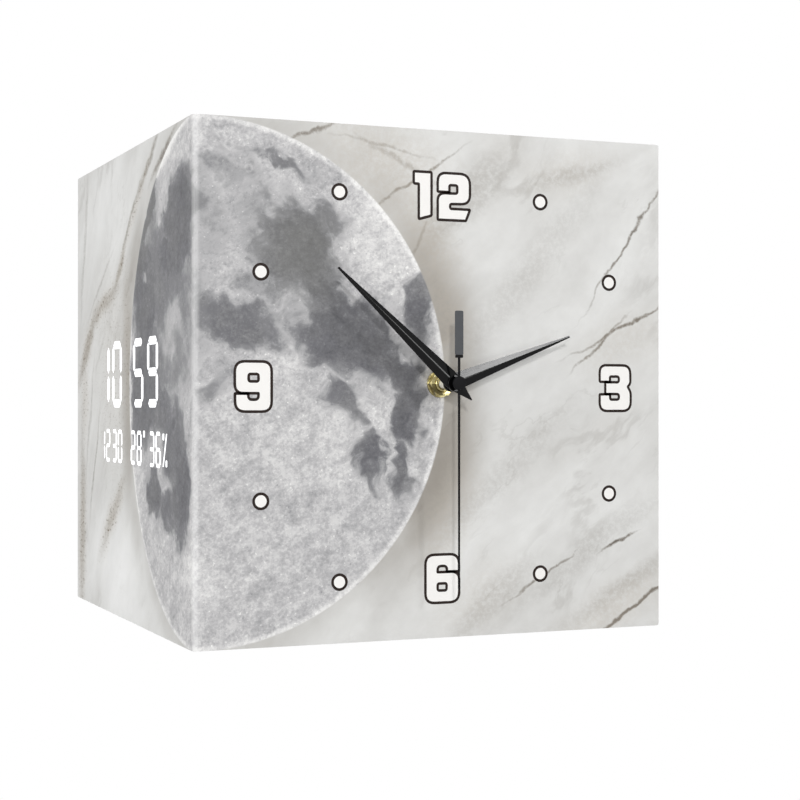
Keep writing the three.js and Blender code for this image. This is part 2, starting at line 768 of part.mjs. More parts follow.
function threadedBush() {
  const inner = (hourPipe + runningGap) / Math.cos(Math.PI / round);
  const back = depthZ(caseWall + seatGap + bushFlange);
  return turned([
    [inner, back], [bushFlangeRadius, back], [bushFlangeRadius, back + bushFlange],
    [bushRadius, back + bushFlange], [bushRadius, bushReach - nutChamfer],
    [bushRadius - nutChamfer, bushReach], [inner, bushReach], [inner, back]]);
}

function hexNut() {
  const low = 2 * seatGap + washerThickness;
  const high = low + nutThickness;
  const corner = nutFlats / 2 / Math.cos(Math.PI / 6);
  const flat = nutFlats / 2;
  const hexagon = outline(circlePoints(corner, 0, 0, 6));
  const prismBody = slab(
    withHoles(hexagon, holePoints(bushRadius + runningGap, 0, 0, round)), low, high);
  const chamfered = turned([
    [0, low - cutExtra], [corner, low - cutExtra], [corner, high - nutChamfer], [flat, high], [0, high]]);
  return common(prismBody, chamfered);
}

function rotor() {
  const pinion = gear(rotorPinionTeeth, rotorModule, rotorAxis, fifthAxis, false);
  return joined(
    arbor(arborRadius, rotorAxis, middleLayer + seatGap, bridgeLayer + plateThickness - seatGap),
    layer(pinion, fifthLayer, wheelThickness),
    arbor(magnetRadius, rotorAxis, magnetLayer, magnetLayer + magnetThickness, round));
}

function fifthWheel() {
  const pinion = gear(fifthPinionTeeth, secondsModule, fifthAxis, handAxis, false);
  const wheel = gear(fifthTeeth, rotorModule, fifthAxis, rotorAxis, true);
  return joined(
    arbor(arborRadius, fifthAxis, middleLayer + seatGap, bridgeLayer + plateThickness - seatGap),
    layer(pinion, secondsLayer, wheelThickness + layerGap), layer(wheel, fifthLayer, wheelThickness));
}

function secondsWheel() {
  const pinion = gear(secondsPinionTeeth, trainModule, handAxis, thirdAxis, false);
  const wheel = gear(secondsTeeth, secondsModule, handAxis, fifthAxis, true);
  const shaft = disc(
    secondShaft, 0, 0, depthZ(bridgeLayer + plateThickness - seatGap), secondPlane - seatGap, roundSmall);
  return joined(
    shaft, layer(pinion, thirdLayer, wheelThickness + layerGap), layer(wheel, secondsLayer, wheelThickness));
}

function thirdWheel() {
  const pinion = gear(thirdPinionTeeth, centreModule, thirdAxis, handAxis, false);
  const wheel = gear(thirdTeeth, trainModule, thirdAxis, handAxis, true);
  return joined(
    arbor(arborRadius, thirdAxis, middleLayer + seatGap, bridgeLayer + plateThickness - seatGap),
    layer(pinion, centreLayer, wheelThickness + layerGap), layer(wheel, thirdLayer, wheelThickness));
}

// The centre wheel slips on the minute pipe when the hands are set.
function centreWheel() {
  const wheel = gear(centreTeeth, centreModule, handAxis, thirdAxis, true, minutePipe + runningGap);
  return layer(wheel, centreLayer, wheelThickness);
}

function minutePipeAndPinion() {
  const pinion = gear(cannonTeeth, cannonModule, handAxis, idlerAxis, false, secondShaft + runningGap);
  const back = depthZ(centreLayer + wheelThickness + layerGap / 2);
  const front = minutePlane + lanceHubHeight + pipeOverrun;
  return joined(
    layer(pinion, cannonLayer, wheelThickness), ring(minutePipe, secondShaft + runningGap, back, front));
}

function hourWheelAndPipe() {
  const wheel = gear(hourTeeth, hourModule, handAxis, idlerAxis, true, minutePipe + runningGap);
  const front = hourPlane + lanceHubHeight + pipeOverrun;
  return joined(
    layer(wheel, hourLayer, wheelThickness),
    ring(hourPipe, minutePipe + runningGap, depthZ(hourLayer + wheelThickness), front));
}

const knobFront = rearLayer + seatGap + caseWall + layerGap;

function settingWheel() {
  const wheel = gear(idlerTeeth, cannonModule, idlerAxis, handAxis, true);
  const pinion = gear(idlerPinionTeeth, hourModule, idlerAxis, handAxis, false);
  return joined(
    arbor(arborRadius, idlerAxis, seatGap, hourLayer + layerGap),
    layer(pinion, hourLayer, wheelThickness + layerGap), layer(wheel, cannonLayer, wheelThickness),
    arbor(idlerShaft, idlerAxis, cannonLayer + layerGap, knobFront + knobThickness / 2));
}

function settingKnob() {
  const [x, y] = idlerAxis;
  const points = Array.from({ length: 2 * knobRibs }, (unused, i) => {
    const radius = knobRadius - (i % 2) * knobRibDepth;
    return polar(radius, (i * 180) / knobRibs, idlerAxis);
  });
  const body = slab(outline(points), depthZ(knobFront + knobThickness), depthZ(knobFront));
  const socketEnd = knobFront + knobThickness / 2 + seatGap;
  const socket = bore(idlerShaft + runningGap, x, y, depthZ(socketEnd), depthZ(knobFront - cutExtra));
  return cut(body, socket);
}

function stator() {
  const [x, y] = rotorAxis;
  const reach = magnetRadius + statorMargin;
  const low = y - reach;
  const top = coilY + statorArm / 2;
  const shape = withHoles(
    outline([
      [-statorReach, low], [x + reach, low], [x + reach, top], [x - reach, top],
      [x - reach, low + statorArm], [-statorReach + statorArm, low + statorArm],
      [-statorReach + statorArm, top], [-statorReach, top]]),
    holePoints(magnetRadius + radialGap, x, y, round));
  return layer(shape, statorLayer, statorThickness);
}

const coreLayer = statorLayer + statorThickness + seatGap;
const coreEnd = rotorAxis[0] - magnetRadius - statorMargin + statorArm;

function coilCore() {
  const bar = rectangle(-statorReach, coreEnd, coilY - coreWidth / 2, coilY + coreWidth / 2);
  return layer(bar, coreLayer, coreThickness);
}

// Bobbin and winding round the core, turned about its length.
function coil() {
  const inner = Math.hypot(coreWidth, coreThickness) / 2 + runningGap;
  const winding = coilRadius - runningGap;
  const low = -statorReach + statorArm + layerGap;
  const high = coreEnd - statorArm - layerGap;
  const profile = [
    [inner, low], [coilRadius, low], [coilRadius, low + coilFlange], [winding, low + coilFlange],
    [winding, high - coilFlange], [coilRadius, high - coilFlange], [coilRadius, high], [inner, high],
    [inner, low]];
  return turned(profile, roundSmall)
    .rotateY(Math.PI / 2)
    .translate(0, coilY, depthZ(coreLayer + coreThickness / 2));
}

const batteryDepth = caseWall + batteryGap + batteryDiameter / 2;
const batteryStart = inCase - contactThickness - batteryGap - seatGap - batteryNubLength - batteryLength;

function battery() {
  const radius = batteryDiameter / 2;
  const bevel = 2 * contactThickness;
  const end = batteryLength;
  const profile = [
    [0, 0], [radius - bevel, 0], [radius, bevel], [radius, end - bevel], [radius - bevel, end],
    [batteryNubRadius, end], [batteryNubRadius, end + batteryNubLength], [0, end + batteryNubLength]];
  return turned(profile).rotateY(Math.PI / 2).translate(batteryStart, batteryAxisY, depthZ(batteryDepth));
}

// A bent strip of sheet at one end of the bay, with a tab through the notch above it.
function contactStrip(end, bow) {
  const back = end * (inCase - batteryGap / 2);
  const front = back - end * contactThickness;
  const tip = front - end * bow;
  const low = batteryAxisY - batteryDiameter / 3;
  const high = -chamberRadius + 2 * contactThickness;
  const bend = batteryAxisY + batteryDiameter / 3;
  const strip = outline([
    [back, low], [back, high], [front, high], [front, bend], [tip, batteryAxisY + contactThickness],
    [tip, batteryAxisY - contactThickness], [front, low]]);
  const slit = outline([
    [back, bend - contactThickness], [front, bend - contactThickness],
    [tip + end * contactThickness, batteryAxisY], [front, low + contactThickness],
    [back, low + contactThickness]]);
  const far = depthZ(rearLayer - batteryGap);
  const near = far + contactWidth;
  const sheet = slab(strip, far, near);
  return bow ? cut(sheet, slab(slit, far + contactThickness, near + cutExtra)) : sheet;
}

function movementBoard() {
  return layer(rectangle(boardLeft, boardRight, boardLow, boardTop), boardDepth, boardThickness);
}

function quartzCrystal() {
  const [x, y] = [(boardLeft + boardRight) / 2, (boardLow + boardTop) / 2];
  const crown = crystalRadius / 2;
  const profile = [
    [0, 0], [crystalRadius, 0], [crystalRadius, crystalLength - crown], [crown, crystalLength],
    [0, crystalLength]];
  return turned(profile, roundSmall)
    .rotateX(-Math.PI / 2)
    .translate(x, y - crystalLength / 2, depthZ(boardDepth + boardThickness + seatGap + crystalRadius));
}

add('rubber_gasket', ring(gasketRadius, bushRadius + runningGap, movementFront + seatGap,
  movementFront + seatGap + gasketThickness), 'rubber', dialFace);
add('movement_case', movementCase(), 'caseBlack', dialFace);
add('movement_cover', movementCover(), 'caseBlack', dialFace);
add('threaded_bush', threadedBush(), 'brass', dialFace);
add('brass_washer', ring(washerRadius, bushRadius + runningGap, seatGap, seatGap + washerThickness),
  'brass', dialFace);
add('hex_nut', hexNut(), 'brass', dialFace);
add('middle_plate', middlePlate(), 'gearWhite', dialFace);
add('train_bridge', trainBridge(), 'gearWhite', dialFace);
add('stator', stator(), 'steel', dialFace);
add('coil_core', coilCore(), 'steel', dialFace);
add('coil', coil(), 'copper', dialFace);
add('movement_board', movementBoard(), 'board', dialFace);
add('quartz_crystal', quartzCrystal(), 'steel', dialFace);
add('battery', battery(), 'battery', dialFace);
add('contact_plus', contactStrip(1, 0), 'steel', dialFace);
add('contact_minus', contactStrip(-1, contactBow), 'steel', dialFace);
add('rotor', rotor(), 'darkGrey', dialFace);
add('fifth_wheel', fifthWheel(), 'gearWhite', dialFace);
add('seconds_wheel', secondsWheel(), 'gearWhite', dialFace);
add('third_wheel', thirdWheel(), 'gearWhite', dialFace);
add('centre_wheel', centreWheel(), 'gearWhite', dialFace);
add('minute_pipe', minutePipeAndPinion(), 'brass', dialFace);
add('hour_wheel', hourWheelAndPipe(), 'gearWhite', dialFace);
add('setting_wheel', settingWheel(), 'gearWhite', dialFace);
add('setting_knob', settingKnob(), 'caseBlack', dialFace);

// Hands: two ridged lances and a thin stick with a counterweight

// A roof-shaped bar, lofted through [distance from the axis, half width] stations.
function ridgedBar(stations, edge, ridge) {
  const widest = Math.max(...stations.map(([, width]) => width));
  const section = stations.map(([y, width]) => [
    [-width, y, 0], [width, y, 0], [width, y, edge],
    [0, y, edge + (ridge * width) / widest], [-width, y, edge]]);
  const sides = section[0].length;
  const index = [];
  for (let i = 0; i + 1 < section.length; i += 1) {
    for (let j = 0; j < sides; j += 1) {
      const [a, b] = [i * sides + j, i * sides + ((j + 1) % sides)];
      index.push(a, b, b + sides, a, b + sides, a + sides);
    }
  }
  const last = (section.length - 1) * sides;
  for (let j = 1; j + 1 < sides; j += 1) {
    index.push(0, j + 1, j);
    index.push(last, last + j, last + j + 1);
  }
  const geometry = new THREE.BufferGeometry();
  geometry.setAttribute('position', new THREE.Float32BufferAttribute(section.flat(2), 3));
  geometry.setIndex(index);
  return geometry;
}

function lanceHand(reach, tail, pipeRadius) {
  const shoulder = lanceHub;
  const stations = [
    [-tail, lanceTipWidth / 4], [0, lanceWidth / 2 - lanceTipWidth / 4], [shoulder, lanceWidth / 2],
    [reach, lanceTipWidth / 2]];
  const blade = ridgedBar(stations, lanceEdge, lanceRidge);
  const hub = disc(lanceHub, 0, 0, 0, lanceHubHeight, round);
  const pipeHole = bore(pipeRadius + seatGap, 0, 0, -cutExtra, lanceHubHeight + cutExtra, round);
  return cut(joined(blade, hub), pipeHole);
}

function secondHand() {
  const stick = outline([
    [-stickWidth / 2, -counterweightStart - cutExtra], [stickWidth / 2, -counterweightStart - cutExtra],
    [stickTipWidth / 2, secondReach], [-stickTipWidth / 2, secondReach]]);
  const weightEnd = -counterweightStart - counterweightLength;
  const weight = roundedRectangle(
    -counterweightWidth / 2, counterweightWidth / 2, weightEnd, -counterweightStart, stickWidth / 2);
  const hub = disc(secondHubRadius, 0, 0, 0, secondHubHeight, round);
  const sleeve = ring(sleeveRadius, secondShaft + seatGap, -sleeveLength, stickThickness / 2, roundSmall);
  return joined(slab(stick, 0, stickThickness), slab(weight, 0, stickThickness), hub, sleeve);
}

function addHand(name, geometry, plane, angle, finish) {
  const hand = add(name, geometry, finish, dialFace);
  hand.position.z = plane;
  hand.rotation.z = (-angle * Math.PI) / 180;
}

addHand('hour_hand', lanceHand(hourReach, hourTail, hourPipe), hourPlane, hourAngle, 'black');
addHand('minute_hand', lanceHand(minuteReach, minuteTail, minutePipe), minutePlane, minuteAngle, 'black');
addHand('second_hand', secondHand(), secondPlane, secondAngle, 'darkGrey');

// Display: lamps on a board shine through a reflector with a window for each segment

// Seven six-sided windows of one large digit, from its left and middle height.
function digitSegments(left, middle, { width, height, stroke }) {
  const [x0, x1] = [left + stroke / 2, left + width - stroke / 2];
  const [y0, y1] = [middle - height / 2 + stroke / 2, middle + height / 2 - stroke / 2];
  const thick = (stroke - segmentGap) / 2;
  const inset = segmentGap + thick;
  const level = (y) => [
    [x0 + segmentGap, y], [x0 + inset, y - thick], [x1 - inset, y - thick],
    [x1 - segmentGap, y], [x1 - inset, y + thick], [x0 + inset, y + thick]];
  const standing = (x, low, high) => [
    [x, low + segmentGap], [x + thick, low + inset], [x + thick, high - inset],
    [x, high - segmentGap], [x - thick, high - inset], [x - thick, low + inset]];
  const levels = [middle, y0, y1].map(level);
  const uprights = [x0, x1].flatMap((x) => [standing(x, y0, middle), standing(x, middle, y1)]);
  return [...levels, ...uprights];
}

// One plain window, from its left and middle height.
function plainWindow(left, middle, width, height) {
  return [
    [left, middle - height / 2], [left + width, middle - height / 2], [left + width, middle + height / 2],
    [left, middle + height / 2]];
}

const signTop = smallHeight + smallDigit.height / 2 - signSize / 2;
const timeWindows = timeLefts.map((left) => digitSegments(left, timeHeight, timeDigit));
const smallWindows = [
  ...smallLefts.map((left) => plainWindow(left, smallHeight, smallDigit.width, smallDigit.height)),
  plainWindow(colonLeft, timeHeight + colonSpread, colonSize, colonSize),
  plainWindow(colonLeft, timeHeight - colonSpread, colonSize, colonSize),
  plainWindow(degreeLeft, signTop, signSize, signSize),
  plainWindow(percentLeft, smallHeight, smallDigit.width, smallDigit.height),
];
const windows = [...timeWindows.flat(), ...smallWindows];
const windowXs = windows.flat().map(([x]) => x);
const windowYs = windows.flat().map(([, y]) => y);
const light = {
  left: Math.min(...windowXs) - lightMargin,
  right: Math.max(...windowXs) + lightMargin,
  low: Math.min(...windowYs) - lightMargin,
  top: Math.max(...windowYs) + lightMargin,
};
const filmBack = -panelThickness - seatGap - filmThickness;
const reflectorBack = filmBack - seatGap - reflectorDepth;
const displayBoardFront = reflectorBack - seatGap;
const displayBoardBack = displayBoardFront - displayBoardThickness;
const displayBoard = {
  left: light.left - boardMargin,
  right: light.right + boardMargin,
  low: light.low - boardMargin,
  top: light.top + boardMargin,
};
// The posts that hold the board pass clear of the housing's rear ledge.
const clampEdge = Math.min(displayBoard.right, acrossFace(cornerPost + rearLedge, -1));
const clampInset = clampPostRadius + clampMargin;
const clampPosts = [displayBoard.left + clampInset, clampEdge - clampInset].flatMap(
  (x) => [displayBoard.low + clampInset, displayBoard.top - clampInset].map((y) => [x, y]));

function middleOf(points) {
  const sum = points.reduce(([x, y], [px, py]) => [x + px, y + py], [0, 0]);
  return sum.map((value) => value / points.length);
}

function lightFilm() {
  return box(light.left, light.right, light.low, light.top, filmBack, filmBack + filmThickness);
}

function segmentReflector() {
  const front = reflectorBack + reflectorDepth;
  const block = box(light.left, light.right, light.low, light.top, reflectorBack, front);
  const wells = windows.map((points) => slab(outline(points), reflectorBack - cutExtra, front + cutExtra));
  return cut(block, ...wells);
}

function displayBoardWithLamps() {
  const { left, right, low, top } = displayBoard;
  const sheet = box(left, right, low, top, displayBoardBack, displayBoardFront);
  const lamps = [...timeWindows.map(([middle]) => middle), ...smallWindows].map((points) => {
    const [x, y] = middleOf(points);
    return box(
      x - lampSize / 2, x + lampSize / 2, y - lampSize / 2, y + lampSize / 2, displayBoardFront - lampHeight,
      displayBoardFront + lampHeight);
  });
  return joined(sheet, ...lamps);
}

function driverChip() {
  const [x, y] = chipPlace;
  const top = displayBoardBack - seatGap;
  const shape = roundedRectangle(
    x - chipLength / 2, x + chipLength / 2, y - chipWidth / 2, y + chipWidth / 2, segmentGap);
  const body = slab(shape, top - chipHeight, top - chipHeight / 4);
  const pitch = chipLength / (chipPins + 1);
  const pins = Array.from({ length: chipPins }, (unused, i) => {
    const at = x - chipLength / 2 + (i + 1) * pitch;
    const thick = chipHeight / 4;
    const reach = chipWidth / 2 + chipHeight / 2;
    return box(at - pitch / 5, at + pitch / 5, y - reach, y + reach, top - thick - chipHeight / 4, top);
  });
  return joined(body, ...pins);
}

// An open cup that holds the coin cell of the display.
function cellHolder() {
  const [x, y] = cellPlace;
  const top = displayBoardBack - seatGap;
  const inner = cellRadius + slideGap;
  const outer = inner + holderWall;
  const low = top - holderFloor - seatGap - cellThickness;
  const cup = turned([
    [0, top], [outer, top], [outer, low], [inner, low], [inner, top - holderFloor], [0, top - holderFloor]]);
  const gap = box(
    -cellRadius / 2, cellRadius / 2, -outer - cutExtra, 0, low - cutExtra, top - holderFloor - seatGap);
  return cut(cup, gap).translate(x, y, 0);
}

function coinCell() {
  const [x, y] = cellPlace;
  const top = displayBoardBack - 2 * seatGap - holderFloor;
  const low = top - cellThickness;
  const inset = cellRadius - holderWall;
  const step = holderWall / 3;
  return turned([
    [0, low], [cellRadius, low], [cellRadius, top - step], [inset, top - step], [inset, top], [0, top]])
    .translate(x, y, 0);
}

function displayCover() {
  const slots = Array.from({ length: ventCount }, (unused, i) => {
    const y = ventHeight + (i - (ventCount - 1) / 2) * ventPitch;
    return outline([
      [-ventLength / 2, y - ventWidth / 2], [ventLength / 2, y - ventWidth / 2],
      [ventLength / 2, y + ventWidth / 2], [-ventLength / 2, y + ventWidth / 2]]);
  });
  const posts = clampPosts.map(([x, y]) => disc(
    clampPostRadius, x, y, coverBack - cutExtra, displayBoardBack - seatGap));
  return joined(coverSheet(-1, slots), ...posts);
}

function dialCover() {
  const reach = caseHalf + fingerRoom;
  return coverSheet(1, [roundedRectangle(-reach, reach, -reach, reach, windowRadius)]);
}

add('dial_rear_cover', dialCover(), 'whiteCase', dialFace);
add('display_rear_cover', displayCover(), 'whiteCase', displayFace);
add('dial_hanger', hangerPlate(), 'steel', dialFace);
add('display_hanger', hangerPlate(), 'steel', displayFace);
addScrews(1, 'dial', dialFace);
addScrews(-1, 'display', displayFace);
add('light_film', lightFilm(), 'film', displayFace);
add('segment_reflector', segmentReflector(), 'caseBlack', displayFace);
add('display_board', displayBoardWithLamps(), 'board', displayFace);
add('driver_chip', driverChip(), 'caseBlack', displayFace);
add('cell_holder', cellHolder(), 'caseBlack', displayFace);
add('coin_cell', coinCell(), 'steel', displayFace);

// Buttons, switches, power inlet and sensor on the key board

function pushButton() {
  const cap = buttonStandOut + housingWall + seatGap;
  const bevel = buttonStandOut / 3;
  return turned([
    [0, 0], [buttonRadius - bevel, 0], [buttonRadius, bevel], [buttonRadius, cap], [buttonFlangeRadius, cap],
    [buttonFlangeRadius, cap + buttonFlange], [plungerRadius, cap + buttonFlange],
    [plungerRadius, cap + buttonFlange + plungerLength], [0, cap + buttonFlange + plungerLength]])
    .rotateX(-Math.PI / 2);
}

function pushSwitch() {
  const edge = switchSize / 2;
  const body = box(-edge, edge, actuatorHeight, actuatorHeight + switchHeight, -edge, edge);
  const actuator = upright(actuatorRadius, 0, 0, 0, actuatorHeight + switchHeight / 2);
  return joined(body, actuator);
}

function powerInlet() {
  const low = -half + seatGap;
  const high = keyBoardLow - seatGap;
  const shell = (inset) => roundedRectangle(
    inletX - inletWidth / 2 + inset, inletX + inletWidth / 2 - inset,
    -keysZ - inletTall / 2 + inset, -keysZ + inletTall / 2 - inset, inletTall / 3 - inset);
  const mouth = slab(shell(inletShell), low - cutExtra, low + inletMouthDepth);
  return cut(slab(shell(0), low, high), mouth).rotateX(-Math.PI / 2);
}

function keyBoard() {
  const [left, right] = keyBoardEnds;
  return box(
    left, right, keyBoardLow, keyBoardLow + keyBoardThickness,
    keysZ - keyBoardWidth / 2, keysZ + keyBoardWidth / 2);
}

const sensorX = (buttonPlaces[buttonCount - 1] + inletX) / 2;

function climateSensor() {
  const low = keyBoardLow + keyBoardThickness + seatGap;
  const body = box(
    sensorX - sensorWidth / 2, sensorX + sensorWidth / 2, low, low + sensorTall, keysZ - sensorThick / 2,
    keysZ + sensorThick / 2);
  const pitch = sensorTall / (sensorSlots + 1);
  const slots = Array.from({ length: sensorSlots }, (unused, i) => {
    const y = low + (i + 1) * pitch;
    return box(
      sensorX - sensorWidth / 3, sensorX + sensorWidth / 3, y - pitch / 5, y + pitch / 5,
      keysZ - sensorThick / 2 - cutExtra, keysZ - sensorThick / 2 + sensorSlotDepth);
  });
  return cut(body, ...slots);
}

// A flat ribbon from the back of the display board down to the key board.
function ribbonCable() {
  const start = [displayBoardBack - seatGap - ribbonThickness / 2, displayBoard.low + 2 * ribbonWidth];
  const end = [keysZ - keyBoardWidth / 4, keyBoardLow + keyBoardThickness + seatGap];
  const ease = (start[1] - end[1]) / 2; // leaves and arrives upright
  const controls = [start, [start[0], start[1] - ease], [end[0], end[1] + ease], end];
  const route = new THREE.CubicBezierCurve(...controls.map(([z, y]) => new THREE.Vector2(z, y)));
  const steps = 16;
  const edges = [1, -1].map((way) => Array.from({ length: steps + 1 }, (unused, i) => {
    const at = route.getPoint(i / steps);
    const along = route.getTangent(i / steps);
    return [-(at.x - way * along.y * ribbonThickness / 2), at.y + way * along.x * ribbonThickness / 2];
  }));
  const section = outline([...edges[0], ...edges[1].reverse()]);
  const overButtons = (buttonPlaces[0] + buttonPlaces[buttonCount - 1]) / 2;
  const besidePost = displayBoard.left + clampInset + clampPostRadius + ribbonClear + ribbonWidth / 2;
  const middle = Math.max(overButtons, besidePost);
  return slab(section, middle - ribbonWidth / 2, middle + ribbonWidth / 2).rotateY(Math.PI / 2);
}

buttonPlaces.forEach((x, i) => {
  const button = add(`set_button_${i + 1}`, pushButton(), 'whiteCase', displayFace);
  button.position.set(x, -half - buttonStandOut, keysZ);
  const pressed = add(`push_switch_${i + 1}`, pushSwitch(), 'caseBlack', displayFace);
  pressed.position.set(x, actuatorLow, keysZ);
});
add('key_board', keyBoard(), 'board', displayFace);
add('power_inlet', powerInlet(), 'steel', displayFace);
add('climate_sensor', climateSensor(), 'film', displayFace);
add('ribbon_cable', ribbonCable(), 'darkGrey', displayFace);

export default group;
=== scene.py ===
import json
import math

import bmesh
import bpy
import numpy as np
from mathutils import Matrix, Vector
from mathutils.geometry import tessellate_polygon


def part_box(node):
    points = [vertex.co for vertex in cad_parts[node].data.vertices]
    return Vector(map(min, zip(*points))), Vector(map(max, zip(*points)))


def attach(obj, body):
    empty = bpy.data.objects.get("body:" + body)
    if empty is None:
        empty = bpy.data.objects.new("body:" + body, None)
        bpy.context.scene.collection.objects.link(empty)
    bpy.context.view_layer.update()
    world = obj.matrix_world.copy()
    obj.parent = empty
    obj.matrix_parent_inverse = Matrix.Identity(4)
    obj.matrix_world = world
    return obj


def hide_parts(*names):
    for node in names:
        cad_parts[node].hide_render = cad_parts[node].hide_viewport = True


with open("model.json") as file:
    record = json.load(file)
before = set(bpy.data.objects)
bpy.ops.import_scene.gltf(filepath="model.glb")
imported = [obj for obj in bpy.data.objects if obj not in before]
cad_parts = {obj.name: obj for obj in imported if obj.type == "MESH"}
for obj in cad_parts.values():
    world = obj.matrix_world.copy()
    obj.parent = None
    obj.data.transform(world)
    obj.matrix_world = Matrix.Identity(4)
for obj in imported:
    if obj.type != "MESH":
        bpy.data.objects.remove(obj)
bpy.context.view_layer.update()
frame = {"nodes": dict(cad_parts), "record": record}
nodes = frame["nodes"]
nodeBody = {n: body for body, members in frame["record"]["behaviour"]["bodies"].items() for n in members}
mm = 0.001
print("frame loaded,", len(nodes), "nodes")

# Camera: looks at target from an azimuth and elevation in degrees, distances in millimetres
photoView = {"target": (68.2, -40.0, -8.3), "azimuth": -22.77, "elevation": -0.20, "distance": 868.4,
             "lens": 77.15, "sensor": 36.0, "nearest": 10.0}


def backward(azimuth, elevation):
    # unit vector from the target to the camera
    a, e = math.radians(azimuth), math.radians(elevation)
    return Vector((math.sin(a) * math.cos(e), -math.cos(a) * math.cos(e), math.sin(e)))


def addToScene(thing):
    bpy.context.scene.collection.objects.link(thing)
    return thing


back = backward(photoView["azimuth"], photoView["elevation"])
camera = addToScene(bpy.data.objects.new("photo_camera", bpy.data.cameras.new("photo_camera")))
camera.data.lens = photoView["lens"]
camera.data.sensor_width = photoView["sensor"]
camera.data.clip_start = photoView["nearest"] * mm
camera.location = (Vector(photoView["target"]) + back * photoView["distance"]) * mm
camera.rotation_euler = back.to_track_quat("Z", "Y").to_euler()
bpy.context.scene.camera = camera
print("camera set")


class Wire:
    # one output of a shader node; arithmetic on it adds Math nodes
    def __init__(self, tree, socket=None):
        self.tree = tree
        self.socket = socket

    def node(self, kind, settings=None, sockets=None, out=0):
        made = self.tree.nodes.new(kind)
        for key, value in (settings or {}).items():
            if key == "stops":
                setStops(made.color_ramp, value)
            else:
                setattr(made, key, value)
        for key, value in (sockets or {}).items():
            if isinstance(value, Wire):
                self.tree.links.new(value.socket, made.inputs[key])
            else:
                made.inputs[key].default_value = value
        return Wire(self.tree, made.outputs[out] if len(made.outputs) else None)

    def output(self, which):
        # another output of the same node
        return Wire(self.tree, self.socket.node.outputs[which])

    def math(self, how, other=None, flip=False):
        pair = [self] if other is None else [other, self] if flip else [self, other]
        return self.node("ShaderNodeMath", {"operation": how}, dict(enumerate(pair)))

    def __add__(self, other):
        return self.math("ADD", other)

    def __sub__(self, other):
        return self.math("SUBTRACT", other)

    def __rsub__(self, other):
        return self.math("SUBTRACT", other, True)

    def __mul__(self, other):
        return self.math("MULTIPLY", other)

    def __truediv__(self, other):
        return self.math("DIVIDE", other)

    def __rtruediv__(self, other):
        return self.math("DIVIDE", other, True)

    def __abs__(self):
        return self.math("ABSOLUTE")

    __radd__ = __add__
    __rmul__ = __mul__


def setStops(ramp, stops):
    while len(ramp.elements) < len(stops):
        ramp.elements.new(0.5)
    for element, (place, colour) in zip(ramp.elements, stops):
        element.position = place
        element.color = colour


def screen(red, green, blue):
    # a colour as seen on a screen, 0 to 255, in linear light
    c = np.array([red, green, blue]) / 255
    linear = np.where(c <= 0.04045, c / 12.92, ((c + 0.055) / 1.055) ** 2.4)
    return (*linear.tolist(), 1.0)


def smooth(value, low, high, top=1.0):
    # rises from 0 at low to top at high, with soft ends
    return value.node("ShaderNodeMapRange", {"interpolation_type": "SMOOTHSTEP"},
                      {0: value, 1: low, 2: high, 3: 0.0, 4: top})


def most(first, second):
    return first.math("MAXIMUM", second)


def mixed(share, first, second):
    return share.node("ShaderNodeMix", {"data_type": "RGBA"}, {0: share, 6: first, 7: second}, 2)


def toned(tone, stops):
    return tone.node("ShaderNodeValToRGB", {"stops": stops}, {0: tone})


def noise(place, scale, detail=4.0, rough=0.55, out=0):
    return place.node("ShaderNodeTexNoise", None,
                      {"Vector": place, "Scale": scale, "Detail": detail, "Roughness": rough}, out)


def vectorMath(how, first, second=(0.0, 0.0, 0.0), out=0):
    return first.node("ShaderNodeVectorMath", {"operation": how}, {0: first, 1: second}, out)


def split(place):
    x = place.node("ShaderNodeSeparateXYZ", None, {0: place})
    return x, x.output(1), x.output(2)


def shifted(place, scale, detail, reach):
    # moves the place by a noise vector of the given reach
    drift = vectorMath("SUBTRACT", noise(place, scale, detail, out=1), (0.5, 0.5, 0.5))
    return vectorMath("ADD", place, vectorMath("MULTIPLY", drift, (reach, reach, 0.0)))


def slantedPlace(place, tilt, size):
    # the place turned by tilt and divided by size, which draws a pattern out along its first axis
    return place.node("ShaderNodeMapping", {"vector_type": "TEXTURE"}, {
        "Vector": place, "Rotation": (0.0, 0.0, math.radians(tilt)), "Scale": (*size, 1.0)})


def scaled(value, factor, plus):
    return value.node("ShaderNodeMath", {"operation": "MULTIPLY_ADD"}, {0: value, 1: factor, 2: plus})


def spots(place, group):
    # the deepest of many ellipses, each depth inside and 0 outside, with soft edges
    u, h, _ = split(place)
    soft = group["soft"]
    total = None
    for middleU, middleH, halfU, halfH, tilt, depth in group["rows"]:
        c, s = math.cos(math.radians(tilt)), math.sin(math.radians(tilt))
        along = scaled(u, c / halfU, scaled(h, s / halfU, -(middleU * c + middleH * s) / halfU))
        across = scaled(u, -s / halfH, scaled(h, c / halfH, (middleU * s - middleH * c) / halfH))
        away = scaled(along, along, across * across).math("SQRT")
        one = smooth(away, 1.0 + soft, 1.0 - soft, depth)
        total = one if total is None else most(total, one)
    return total


def startFinish(name):
    material = bpy.data.materials.new(name)
    material.use_nodes = True
    material.node_tree.nodes.clear()
    start = Wire(material.node_tree)
    return material, start, start.node("ShaderNodeTexCoord", out="Object")


def endFinish(start, sockets):
    shader = start.node("ShaderNodeBsdfPrincipled", None, sockets)
    start.node("ShaderNodeOutputMaterial", None, {"Surface": shader})


def bump(height, distance):
    return height.node("ShaderNodeBump", None, {"Strength": 1.0, "Distance": distance, "Height": height})


